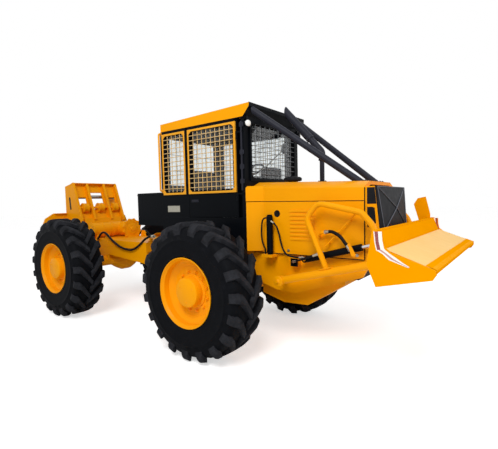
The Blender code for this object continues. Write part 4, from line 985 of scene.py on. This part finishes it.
# Bars from the screen's corners to its raised middle and round its rim; their pale grey is a painted highlight on these
# ridges and edges.
bm = bmesh.new()
screen_point = at(1.7825, 0.0, 1.5805)
for y, x, z in ((-0.432, 1.7345, 1.783), (0.432, 1.7345, 1.783), (-0.364, 1.7795, 1.377), (0.364, 1.7795, 1.377)):
    bar(bm, at(x, y, z), screen_point, 0.0045, 8)
rim_points = [at(1.7335, -0.436, 1.7855), at(1.7335, 0.436, 1.7855), at(1.7785, 0.366, 1.3745),
              at(1.7785, -0.366, 1.3745)]
for start, end in zip(rim_points, rim_points[1:] + rim_points[:1]):
    bar(bm, start, end, 0.005, 8)
make_piece("screen_ribs", bm, screen_ridge_highlight_enamel, "front_frame", 0)
print("hood and nose ready")

# %% [markdown]
# ## Exhaust, intake and guard tubes
# The exhaust rises from the hood, bends back over a welded elbow and leaves through a wide tail pipe whose
# slash-cut mouth faces down, so rain stays out. A clamp joins elbow and tail.

# %% Exhaust
bm = bmesh.new()
foot, elbow, tip = at(0.975, 0, 1.868), at(0.975, 0, 2.21), at(0.50, 0, 2.730)
slope = (tip - elbow).normalized()
flange_profile = [(0.026, 0.0), (0.048, 0.0), (0.050, 0.004), (0.050, 0.013), (0.030, 0.015), (0.026, 0.02)]
lathe(bm, flange_profile, foot, (0, 0, 1), 32)
for k in range(4):
    turn = math.tau * (k + 0.5) / 4
    nut = foot + Vector((0.039 * math.cos(turn), 0.039 * math.sin(turn), 0.012))
    bar(bm, nut, nut + Vector((0, 0, 0.009)), 0.007, 6)
bar(bm, foot, elbow - Vector((0, 0, 0.04)), 0.0262, 28)
collar_profile = [(0.020, -0.012), (0.0385, -0.010), (0.0385, 0.012), (0.026, 0.014)]
lathe(bm, collar_profile, elbow - Vector((0, 0, 0.09)), (0, 0, 1), 32)
sweep(bm, rounded_path([elbow - Vector((0, 0, 0.10)), elbow, elbow + slope * 0.26], 0.07, 10), 0.037, 32)
joint = elbow + slope * 0.20
lathe(bm, [(0.036, 0.0), (0.0475, 0.003), (0.0475, 0.030), (0.0450, 0.032), (0.0450, 0.050)], joint, slope, 40)
clamp_bolt = joint + slope * 0.016 + Vector((0, 0, 0.045))
bar(bm, clamp_bolt - Vector((0, 0.030, 0)), clamp_bolt + Vector((0, 0.030, 0)), 0.006, 10)
around = 40
upper = slope.cross(Vector((0, 1, 0))).normalized()
if upper.z < 0:
    upper = -upper
length = (tip - joint).length
rings = []
for radius, near in ((0.0470, True), (0.0470, False), (0.0435, False), (0.0435, True)):
    ring = []
    for k in range(around):
        turn = math.tau * k / around
        lift = math.cos(turn)
        reach = 0.040 if near else length - 0.030 + 0.050 * lift
        ring.append(joint + slope * reach + radius * (upper * lift + Vector((0, 1, 0)) * math.sin(turn)))
    rings.append(points_ring(bm, ring))
bridge(bm, rings, loop=True)
exhaust = make_piece("exhaust_stack", bm, charcoal_enamel, "front_frame", 0.001, 40)
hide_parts("exhaust")

# %% Intake cap and guard tube feet
bm = bmesh.new()
intake = middle("intake_cap")
low_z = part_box("intake_cap")[0][2]
bowl_profile = [(0.0, 0.0), (0.062, 0.0), (0.064, 0.004), (0.056, 0.008), (0.056, 0.018), (0.088, 0.020),
                (0.097, 0.025), (0.100, 0.034), (0.100, 0.052), (0.095, 0.062), (0.080, 0.069),
                (0.030, 0.073), (0.026, 0.080), (0.0, 0.081)]
lathe(bm, bowl_profile, Vector((intake.x, intake.y, low_z + 0.001)), (0, 0, 1), 56)
for k in range(24):
    turn = math.tau * k / 24
    rib = Vector((intake.x + 0.0985 * math.cos(turn), intake.y + 0.0985 * math.sin(turn), low_z + 0.028))
    bar(bm, rib, rib + Vector((0, 0, 0.030)), 0.0045, 8)
cap = make_piece("intake_precleaner", bm, black_plastic, "front_frame", 0.001, 40)
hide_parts("intake_cap")

bm = bmesh.new()
for side in (1, -1):
    base = at(1.50, side * 0.22, hood_line(1.50) + 0.0455)
    block(bm, base + Vector((-0.075, -0.055, 0.0)), base + Vector((0.075, 0.055, 0.009)))
    for dx in (-0.058, 0.058):
        for dy in (-0.040, 0.040):
            bolt = base + Vector((dx, dy, 0.008))
            bar(bm, bolt, bolt + Vector((0, 0, 0.009)), 0.009, 6)
make_piece("guard_tube_feet", bm, charcoal_enamel, "front_frame", 0.0015)
print("stacks and tubes ready")

# %% [markdown]
# ## Hydraulics beside the hood
# The valve block feeds the upright cylinder and the blade. Hoses lie in easy curves, since one that is
# pulled straight tears at its fittings, and each ends in a crimped sleeve and a six-sided nut. A hose
# that crosses a joint rides on no body itself; its end fittings ride on the parts at either end, such as the frame and
# the cylinder.

# %% Hose tools and fittings
def fitting(bm, place, ahead, radius):
    """The crimped sleeve, the nut and the stub at a hose's end, going ahead."""
    place, ahead = Vector(place), Vector(ahead).normalized()
    bar(bm, place - ahead * 0.030, place + ahead * 0.002, radius * 1.22, 20)
    bar(bm, place + ahead * 0.002, place + ahead * 0.018, radius * 1.45, 6)
    bar(bm, place + ahead * 0.018, place + ahead * 0.034, radius * 0.8, 12)


def hose_run(name, route, radius, body="front_frame"):
    """A hose through the points of its route."""
    path = smooth_path(route, 8)
    bm = bmesh.new()
    sweep(bm, path, radius, 14)
    run = make_piece(name, bm, hose_rubber, body, 0)
    return run, path


def end_fittings(name, path, radius, ends, body="front_frame"):
    """Fittings on the chosen ends of a hose: 0 is its start and -1 its far end."""
    bm = bmesh.new()
    for end in ends:
        inner = path[3] if end == 0 else path[-4]
        fitting(bm, path[end], path[end] - inner, radius)
    return make_piece(name, bm, zinc, body, 0.001)


for word, side in (("left", 1), ("right", -1)):
    barrel_body = f"lift_{word}_barrel_body"
    feed_run, feed_path = hose_run(f"cylinder_feed_{word}", [at(x, side * y, z) for x, y, z in (
        (0.640, 0.532, 1.452), (0.676, 0.534, 1.432), (0.712, 0.536, 1.385), (0.738, 0.537, 1.310),
        (0.755, 0.537, 1.240), (0.782, 0.537, 1.165), (0.822, 0.537, 1.115), (0.884, 0.537, 1.098),
        (0.950, 0.537, 1.092), (1.000, 0.537, 1.094))], 0.0095, None)
    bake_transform(feed_run)
    end_fittings(f"cylinder_feed_start_{word}", feed_path, 0.0095, (0,))
    end_fittings(f"cylinder_feed_port_{word}", feed_path, 0.0095, (-1,), barrel_body)
    feed_run, feed_path = hose_run(f"lift_feed_{word}", [at(x, side * y, z) for x, y, z in (
        (0.908, 0.532, 1.046), (0.955, 0.545, 1.062), (1.020, 0.552, 1.080), (1.080, 0.548, 1.100),
        (1.130, 0.538, 1.120), (1.168, 0.5335, 1.137))], 0.0105, None)
    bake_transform(feed_run)
    end_fittings(f"lift_feed_start_{word}", feed_path, 0.0105, (0,))
    bm = bmesh.new()
    bar(bm, at(1.128, side * 0.5375, 1.1195), at(1.172, side * 0.5335, 1.1385), 0.0135, 20)
    bar(bm, at(1.168, side * 0.5335, 1.1375), at(1.190, side * 0.5325, 1.1440), 0.0155, 6)
    bar(bm, at(1.182, side * 0.512, 1.1400), at(1.182, side * 0.541, 1.1400), 0.0130, 20)
    make_piece(f"lift_feed_port_{word}", bm, zinc, barrel_body, 0.001)

# %% Valve block, lift hose, link and prop rod
for word, side in (("left", 1), ("right", -1)):
    barrel_body = f"lift_{word}_barrel_body"
    bm = bmesh.new()
    side_block(bm, side, (0.856, 0.939), (0.505, 0.5145), (0.991, 1.0735))
    for x, z in ((0.872, 1.006), (0.923, 1.006), (0.872, 1.059), (0.923, 1.059)):
        bar(bm, at(x, side * 0.514, z), at(x, side * 0.521, z), 0.0055, 6)
    bar(bm, at(0.880, side * 0.514, 1.032), at(0.880, side * 0.532, 1.032), 0.011, 20)
    make_piece(f"valve_block_cover_{word}", bm, black_enamel, "front_frame", 0.0015)

    lift_run, lift_path = hose_run(f"lift_hose_{word}", [at(x, side * y, z) for x, y, z in (
        (1.268, 0.520, 1.362), (1.330, 0.528, 1.366), (1.411, 0.540, 1.329), (1.466, 0.545, 1.268),
        (1.500, 0.542, 1.222))], 0.0165, None)
    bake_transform(lift_run)
    end_fittings(f"lift_hose_start_{word}", lift_path, 0.0150, (0,))
    bm = bmesh.new()
    bar(bm, at(1.484, side * 0.543, 1.246), at(1.508, side * 0.541, 1.212), 0.0195, 24)
    bar(bm, at(1.507, side * 0.541, 1.213), at(1.520, side * 0.539, 1.195), 0.0215, 6)
    make_piece(f"lift_hose_nut_{word}", bm, zinc, barrel_body, 0.001)
    bm = bmesh.new()
    link = [(1.500, 1.262), (1.520, 1.270), (1.5735, 1.172), (1.5755, 1.152), (1.5620, 1.140), (1.5440, 1.142),
            (1.5330, 1.156)]
    y_low, y_high = sorted((side * 0.560, side * 0.568))
    plate(bm, link, y_low, y_high)
    bar(bm, at(1.555, side * 0.528, 1.160), at(1.555, side * 0.574, 1.160), 0.010, 16)
    bar(bm, at(1.508, side * 0.548, 1.254), at(1.508, side * 0.574, 1.254), 0.009, 6)
    make_piece(f"lift_hose_link_{word}", bm, yellow_enamel, barrel_body, 0.0015)

    bm = bmesh.new()
    stub = [at(1.175, side * 0.462, 1.300), at(1.185, side * 0.505, 1.322), at(1.215, side * 0.520, 1.352),
            at(1.250, side * 0.520, 1.362)]
    sweep(bm, smooth_path(stub, 6), 0.0125, 14)
    bar(bm, at(1.175, side * 0.4595, 1.300), at(1.175, side * 0.466, 1.300), 0.024, 24)
    rod_top, rod_low = at(1.530, side * 0.505, 1.514), at(1.245, side * 0.505, 1.215)
    bar(bm, rod_low, rod_top, 0.0065, 14)
    hook = [rod_top, rod_top + Vector((0.018, 0, 0.016)), rod_top + Vector((0.016, side * 0.018, 0.036)),
            rod_top + Vector((-0.006, side * 0.022, 0.038))]
    sweep(bm, smooth_path(hook, 6), 0.0065, 12)
    for share in (0.12, 0.88):
        clip = rod_low.lerp(rod_top, share)
        bar(bm, Vector((clip.x, side * 0.4595, clip.z)), Vector((clip.x, side * 0.510, clip.z)), 0.007, 12)
    knob = rod_low.lerp(rod_top, 0.50)
    lathe(bm, [(0.0065, -0.016), (0.013, -0.012), (0.013, 0.012), (0.0065, 0.016)], knob, rod_top - rod_low, 20)
    make_piece(f"prop_rod_{word}", bm, yellow_enamel, "front_frame", 0.001)
print("hydraulics ready")

# %% [markdown]
# ## Blade and arms
# The blade is a folded sheet whose inside is scoured pale by timber. Reflective tape in red and white
# lies along the curved top of both end plates, folded steel stiffens the back, and a harder cutting
# edge is bolted along the front.

# %% Blade lining, tape and cutting edge
bm = bmesh.new()
lining = [(1.9800, 1.2960), (2.3270, 1.1690), (2.3264, 1.1665), (1.9793, 1.2935)]
plate(bm, lining, -1.016, 1.016)
make_piece("blade_scoured_floor", bm, scoured_enamel, "blade_body", 0.0005)

bm = bmesh.new()
edge = [(2.262, 1.1945), (2.3285, 1.1700), (2.3335, 1.1655), (2.3265, 1.1435), (2.2580, 1.1685), (2.2570, 1.1640),
        (2.3275, 1.1385), (2.3345, 1.1400), (2.3348, 1.1660), (2.2640, 1.1975)]
plate(bm, edge, -1.0175, 1.0175)
make_piece("blade_cutting_edge", bm, blade_enamel, "blade_body", 0.001)

bm = bmesh.new()
for k in range(9):
    y = -0.92 + 0.23 * k
    bar(bm, at(2.283, y, 1.1580), at(2.279, y, 1.1490), 0.011, 6)
for y in (-0.80, -0.27, 0.27, 0.80):
    rib = [(1.876, 1.10), (1.868, 1.10), (1.868, 1.235), (1.885, 1.400), (1.893, 1.415), (1.893, 1.25), (1.877, 1.24)]
    plate(bm, rib, y - 0.008, y + 0.008)
block(bm, at(1.880, -1.016, 1.424), at(1.921, 1.016, 1.4345))
make_piece("blade_back_ribs", bm, blade_enamel, "blade_body", 0.0015)

tape_rows = [
    # Outer line and inner line of the taped band on an end plate
    ((1.900, 1.427), (1.963, 1.428)), ((1.908, 1.340), (1.967, 1.362)), ((1.920, 1.286), (1.981, 1.298)),
    ((1.966, 1.261), (2.020, 1.267)), ((2.012, 1.219), (2.062, 1.240)), ((2.072, 1.198), (2.112, 1.206)),
    ((2.150, 1.172), (2.160, 1.178)),
]


def tape_strip(bm, side, y, share_from, share_to, rows=tape_rows):
    """A strip of film between two shares of the taped band, on a face of an end plate."""
    lines = []
    for share in (share_from, share_to):
        lines.append([(a[0] + (b[0] - a[0]) * share, a[1] + (b[1] - a[1]) * share) for a, b in rows])
    y_low, y_high = sorted((side * y, side * (y + 0.0006)))
    for (a, b), (c, d) in zip(zip(lines[0], lines[0][1:]), zip(lines[1], lines[1][1:])):
        plate(bm, [a, b, d, c], y_low, y_high)


def lip_outline(grow):
    """The taped band's outline, grown a little all round."""
    outer = [(x - grow, z - grow) for (x, z), _ in tape_rows]
    inner = [(x + 0.6 * grow, z + grow) for _, (x, z) in tape_rows]
    return outer + inner[::-1]


bm = bmesh.new()
for side in (1, -1):
    y_low, y_high = sorted((side * 1.0185, side * 1.0405))
    plate(bm, lip_outline(0.001), y_low, y_high)
make_piece("blade_end_lips", bm, blade_enamel, "blade_body", 0)
steep_rows, flat_rows = tape_rows[:3], tape_rows[2:]
bm = bmesh.new()
for side in (1, -1):
    tape_strip(bm, side, 1.0406, 0.14, 0.55, steep_rows)
    tape_strip(bm, side, 1.0178, 0.60, 0.95)
make_piece("blade_red_tape", bm, red_tape, "blade_body", 0)
bm = bmesh.new()
for side in (1, -1):
    tape_strip(bm, side, 1.0406, 0.30, 0.62, flat_rows)
make_piece("blade_faded_red_tape", bm, faded_red_tape, "blade_body", 0)
bm = bmesh.new()
for side in (1, -1):
    tape_strip(bm, side, 1.0406, 0.02, 0.14, steep_rows)
    tape_strip(bm, side, 1.0406, 0.55, 1.0, steep_rows)
    tape_strip(bm, side, 1.0406, 0.02, 0.30, flat_rows)
    tape_strip(bm, side, 1.0406, 0.62, 1.0, flat_rows)
    tape_strip(bm, side, 1.0178, 0.05, 0.60)
make_piece("blade_white_tape", bm, white_tape, "blade_body", 0)

# %% Arm bosses and hoop feet
bm = bmesh.new()
for side in (1, -1):
    pivot_place = at(0.771, side * 0.585, 0.843)
    lathe(bm, [(0.0, 0.062), (0.012, 0.062), (0.018, 0.060), (0.026, 0.054), (0.050, 0.052), (0.056, 0.048),
               (0.056, 0.041), (0.0, 0.041)], pivot_place, (0, side, 0), 40)
    bar(bm, pivot_place + Vector((0, side * 0.060, 0)), pivot_place + Vector((0, side * 0.073, 0)), 0.016, 6)
    foot_place = at(1.300, side * 0.585, 1.000)
    slope_ahead = Vector((math.cos(math.radians(14.5)), 0, math.sin(math.radians(14.5))))
    slope_up = Vector((-slope_ahead.z, 0, slope_ahead.x))
    pad = foot_place + slope_up * 0.016
    corners = [(-0.062, -0.034), (0.062, -0.034), (0.062, 0.034), (-0.062, 0.034)]
    bridge(bm, [points_ring(bm, [pad + slope_ahead * a + Vector((0, b, 0)) + slope_up * lift for a, b in corners])
                for lift in (0.0, 0.010)])
make_piece("arm_bosses", bm, yellow_enamel, "blade_body", 0.0015)
print("blade ready")

# %% [markdown]
# ## Rear end
# The winch's drum case lies across the rear frame, and the lobed front flange of its gear case is held by
# a ring of bolts. Behind it the arch leans back: a folded lip closes its top, and a pulley turns in each
# bay to lead a cable down to the logs. The butt plate's edges are folded in so that they don't dig in.

# %% Winch bolts, seams and caps
case_face_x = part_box("winch")[1][0] - front_axle_x
case_centre = at(case_face_x, 0.20, 1.235)
bm = bmesh.new()
for k in range(12):
    turn = math.tau * (k + 0.5) / 12
    place = case_centre + 0.168 * Vector((0, math.cos(turn), math.sin(turn)))
    if place.z > 1.115:
        bar(bm, place, place + Vector((0.010, 0, 0)), 0.011, 6)
for k in range(6):
    turn = math.tau * k / 6
    place = case_centre + 0.062 * Vector((0, math.cos(turn), math.sin(turn)))
    bar(bm, place, place + Vector((0.014, 0, 0)), 0.008, 6)
lathe(bm, [(0.100, -0.002), (0.100, 0.006), (0.086, 0.010), (0.045, 0.011), (0.040, 0.022), (0.0, 0.024)],
      case_centre, (1, 0, 0), 40)
plug_profile = [(0.010, 0.0), (0.014, 0.002), (0.014, 0.012), (0.0, 0.013)]
lathe(bm, plug_profile, case_centre + Vector((0.005, 0.06, 0.12)), (1, 0, 0), 6)
make_piece("winch_case_bolts", bm, yellow_enamel, "rear_frame", 0.0015)

bm = bmesh.new()
drum_x, drum_z, drum_radius = -3.20, 1.24, 0.125
band_radius = drum_radius + 0.0055
band = [(drum_radius, -0.012), (band_radius, -0.010), (band_radius, 0.010), (drum_radius, 0.012)]
for y in (-0.385, -0.20, 0.008):
    lathe(bm, band, at(drum_x, y, drum_z), (0, 1, 0), 48)
for k in range(8):
    turn = math.tau * k / 8
    place = at(drum_x + 0.095 * math.cos(turn), -0.390, drum_z + 0.095 * math.sin(turn))
    bar(bm, place, place - Vector((0, 0.008, 0)), 0.009, 6)
lathe(bm, [(0.060, 0.0), (0.058, 0.010), (0.030, 0.016), (0.0, 0.017)], at(drum_x, -0.390, drum_z), (0, -1, 0), 32)
make_piece("winch_drum_bands", bm, yellow_enamel, "rear_frame", 0.0015)

# %% Arch lip, slots, pulleys and rear roller
foot_point, head_point = Vector((-3.50, 0, 1.36)), Vector((-3.76, 0, 2.04))
arch_lean = head_point - foot_point
arch_front = Vector((arch_lean.z, 0, -arch_lean.x)).normalized()
arch_half = 0.43


def on_arch(share, forward):
    """A point (x, z) up the arch's leaning plate and forward of it."""
    place = foot_point + arch_lean * share + arch_front * forward
    return (place.x, place.z)


bm = bmesh.new()
lip = [on_arch(share, forward) for share, forward in (
    (0.992, 0.018), (1.004, 0.018), (1.004, 0.101), (0.990, 0.1015), (0.985, 0.098), (0.994, 0.095))]
plate(bm, lip, -arch_half + 0.0305, arch_half - 0.0305)
rib_half = 0.015
for y in (-arch_half + rib_half, -0.166, 0.166, arch_half - rib_half):
    edge_fold = [on_arch(0.03, 0.0985), on_arch(0.985, 0.0985), on_arch(0.985, 0.1035), on_arch(0.03, 0.1035)]
    plate(bm, edge_fold, y - rib_half - 0.006, y + rib_half + 0.006)
make_piece("arch_folded_edges", bm, yellow_enamel, "rear_frame", 0.0015)

# Each slot in a cheek is a flat cast-iron patch on the cheek's face: painted shade for the shaded far cheek seen
# through the slot.
bm = bmesh.new()
for side in (1, -1):
    y_low, y_high = sorted((side * (arch_half - 0.001), side * (arch_half + 0.0012)))
    for x, z in ((-3.775, 1.62), (-3.795, 1.80)):
        bar(bm, at(x, y_low, z), at(x, y_high, z), 0.026, 28)
    plate(bm, [(-3.801, 1.62), (-3.749, 1.62), (-3.769, 1.80), (-3.821, 1.80)], y_low, y_high)
make_piece("arch_cheek_slot_painted_shade", bm, cast_iron, "rear_frame", 0)

bm = bmesh.new()
pulley_x, pulley_z = on_arch(0.36, 0.06)
pulley_rim = [
    # radius, distance from the pulley's middle: two flanges and the groove between them
    (0.0, -0.057), (0.030, -0.057), (0.034, -0.0525), (0.080, -0.0525), (0.0865, -0.046), (0.0865, -0.036),
    (0.0815, -0.026), (0.0815, 0.026), (0.0865, 0.036), (0.0865, 0.046), (0.080, 0.0525), (0.034, 0.0525),
    (0.030, 0.057), (0.0, 0.057),
]
for y in (-0.2905, 0.0, 0.2905):
    lathe(bm, pulley_rim, at(pulley_x, y, pulley_z), (0, 1, 0), 48)
make_piece("arch_pulley_rims", bm, yellow_enamel, "rear_frame", 0.001)

bm = bmesh.new()
roller_x, roller_z = on_arch(0.70, -0.035)
bar(bm, at(roller_x, -arch_half + 0.02, roller_z), at(roller_x, arch_half - 0.02, roller_z), 0.032, 28)
for y in (-0.40, 0.40):
    bar(bm, at(roller_x, y - 0.008, roller_z), at(roller_x, y + 0.008, roller_z), 0.045, 28)
make_piece("arch_rear_roller", bm, worn_steel, "rear_frame", 0.001)

# %% Butt plate folds and rear frame bolts
bm = bmesh.new()
rear_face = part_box("butt_plate")[0][0] - front_axle_x
for side in (1, -1):
    side_block(bm, side, (rear_face + 0.034, rear_face + 0.078), (0.860, 0.8695), (0.70, 1.27))
    for z in (0.86, 1.24):
        side_block(bm, side, (rear_face + 0.034, rear_face + 0.060), (0.30, 0.85), (z - 0.012, z + 0.012))
block(bm, at(rear_face + 0.034, -0.645, 1.528), at(rear_face + 0.080, 0.645, 1.5395))
block(bm, at(rear_face + 0.034, -0.84, 0.6805), at(rear_face + 0.080, 0.84, 0.692))
make_piece("butt_plate_folds", bm, yellow_enamel, "rear_frame", 0.002)

bm = bmesh.new()
for side in (1, -1):
    for x in (-1.90, -2.02, -2.60, -2.74, -3.30, -3.42):
        for z in (1.02, 1.065):
            bar(bm, at(x, side * 0.3695, z), at(x, side * 0.380, z), 0.011, 6)
    strip = [(-3.45, 0.988), (-1.80, 0.988), (-1.80, 0.996), (-3.45, 0.996)]
    y_low, y_high = sorted((side * 0.3695, side * 0.374))
    plate(bm, strip, y_low, y_high)
    eye = at(-1.80, side * 0.22, 1.105)
    lathe(bm, [(0.045, 0.0), (0.045, 0.010), (0.028, 0.014), (0.026, 0.050), (0.0, 0.052)], eye - Vector((0, 0, 0.009)),
          (0, 0, 1), 28)
make_piece("rear_frame_bolts", bm, yellow_enamel, "rear_frame", 0.0015)

# %% Hoses over the centre hinge
for word, side, drop in (("left", 1, 0.03), ("right", -1, 0.0)):
    hinge_route = [at(x, side * y, z - drop) for x, y, z in (
        (-3.02, 0.395, 1.075), (-2.954, 0.398, 1.130), (-2.870, 0.402, 1.195), (-2.790, 0.404, 1.218),
        (-2.700, 0.404, 1.190), (-2.536, 0.402, 1.085), (-2.330, 0.400, 0.998), (-2.106, 0.398, 0.968),
        (-1.960, 0.396, 1.000), (-1.843, 0.388, 1.070), (-1.770, 0.372, 1.132), (-1.700, 0.352, 1.175),
        (-1.650, 0.336, 1.188), (-1.6095, 0.326, 1.190))]
    hinge_run, hinge_path = hose_run(f"hinge_hose_{word}", hinge_route, 0.017, None)
    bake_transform(hinge_run)
    bm = bmesh.new()
    fitting(bm, hinge_path[0], hinge_path[0] - hinge_path[3], 0.017)
    bracket = [(-2.84, 1.094), (-2.68, 1.094), (-2.71, 1.198), (-2.79, 1.198)]
    y_low, y_high = sorted((side * 0.352, side * 0.364))
    plate(bm, bracket, y_low, y_high)
    side_block(bm, side, (-2.790, -2.710), (0.360, 0.390), (1.178 - drop, 1.198 - drop))
    make_piece(f"hinge_hose_bracket_{word}", bm, yellow_enamel, "rear_frame", 0.001)
    end_fittings(f"hinge_hose_end_{word}", hinge_path, 0.017, (-1,))
print("rear end ready")

# %% [markdown]
# ## Floor, light and camera
# The studio is a pale floor and a large soft lamp above the camera's left, with the sky filling the
# shadows. The background is white to the camera and to mirrors only, so it adds no light to the paint.

# %% Floor
floor_mesh = bpy.data.meshes.new("studio_floor")
floor_half = 60.0
floor_corners = [(-floor_half, -floor_half, 0), (floor_half, -floor_half, 0),
                 (floor_half, floor_half, 0), (-floor_half, floor_half, 0)]
floor_mesh.from_pydata(floor_corners, [], [(0, 1, 2, 3)])
floor = bpy.data.objects.new("studio_floor", floor_mesh)
floor.location.z = -0.001
bpy.context.scene.collection.objects.link(floor)
floor_finish, floor_tree, floor_shader = new_finish("pale_studio_paper", base_color=linear("#F4F4F4"), roughness=0.9)
seen = add_node(floor_tree, "ShaderNodeLightPath")
glow = add_node(floor_tree, "ShaderNodeMath", {"operation": "MULTIPLY"}, {1: 0.56},
                {0: seen.outputs["Is Camera Ray"]})
floor_shader.inputs["Emission Color"].default_value = (1, 1, 1, 1)
floor_tree.links.new(glow.outputs["Value"], floor_shader.inputs["Emission Strength"])
floor_mesh.materials.append(floor_finish)

# %% Light
world = bpy.data.worlds.new("studio")
bpy.context.scene.world = world
world.use_nodes = True
sky = world.node_tree
background = sky.nodes["Background"]
rays = add_node(sky, "ShaderNodeLightPath")
direct = add_node(sky, "ShaderNodeMath", {"operation": "ADD", "use_clamp": True},
                  links={0: rays.outputs["Is Camera Ray"], 1: rays.outputs["Is Glossy Ray"]})
shown = add_node(sky, "ShaderNodeMath", {"operation": "ADD", "use_clamp": True},
                 links={0: direct.outputs["Value"], 1: rays.outputs["Is Transmission Ray"]})
level = add_node(sky, "ShaderNodeMapRange", values={"To Min": 0.42, "To Max": 1.0},
                 links={"Value": shown.outputs["Value"]})
sky.links.new(level.outputs["Result"], background.inputs["Strength"])
background.inputs["Color"].default_value = (1, 1, 1, 1)


def area_lamp(name, place, target, size, power):
    """A square soft lamp that faces a target."""
    lamp = bpy.data.lights.new(name, "AREA")
    lamp.size = size
    lamp.energy = power
    thing = bpy.data.objects.new(name, lamp)
    thing.location = place
    thing.rotation_euler = (Vector(target) - Vector(place)).to_track_quat("-Z", "Y").to_euler()
    bpy.context.scene.collection.objects.link(thing)


area_lamp("key_lamp", (4.0, -7.0, 8.0), (0.0, 0.0, 1.0), 4.0, 660)
area_lamp("nose_lamp", (9.0, 1.0, 5.0), (0.5, 0.0, 1.2), 4.0, 160)

# %% [markdown]
# The camera stands where the photographer stood, found by fitting the wheels and frame lines of the
# real machine: beyond the right front corner, at eye height, with a short lens close to the machine.

# %% Camera
image_width = 498
focal_pixels = 371.924
sensor_width = 36.0
look_yaw, look_pitch, look_roll = 2.222, 0.062, -0.023
ahead = Vector((math.cos(look_yaw) * math.cos(look_pitch), math.sin(look_yaw) * math.cos(look_pitch),
                -math.sin(look_pitch)))
level_right = ahead.cross(Vector((0, 0, 1))).normalized()
level_up = level_right.cross(ahead)
right = math.cos(look_roll) * level_right + math.sin(look_roll) * level_up
upward = -math.sin(look_roll) * level_right + math.cos(look_roll) * level_up
lens = bpy.data.cameras.new("photo_camera")
lens.sensor_width = sensor_width
lens.lens = focal_pixels / image_width * sensor_width
camera = bpy.data.objects.new("photo_camera", lens)
look = Matrix((right, upward, -ahead)).transposed().to_4x4()
camera.matrix_world = Matrix.Translation(at(2.850, -3.831, 1.675)) @ look
bpy.context.scene.collection.objects.link(camera)
bpy.context.scene.camera = camera
bpy.context.scene.view_settings.view_transform = "Standard"
print("lens", round(lens.lens, 2), "mm")
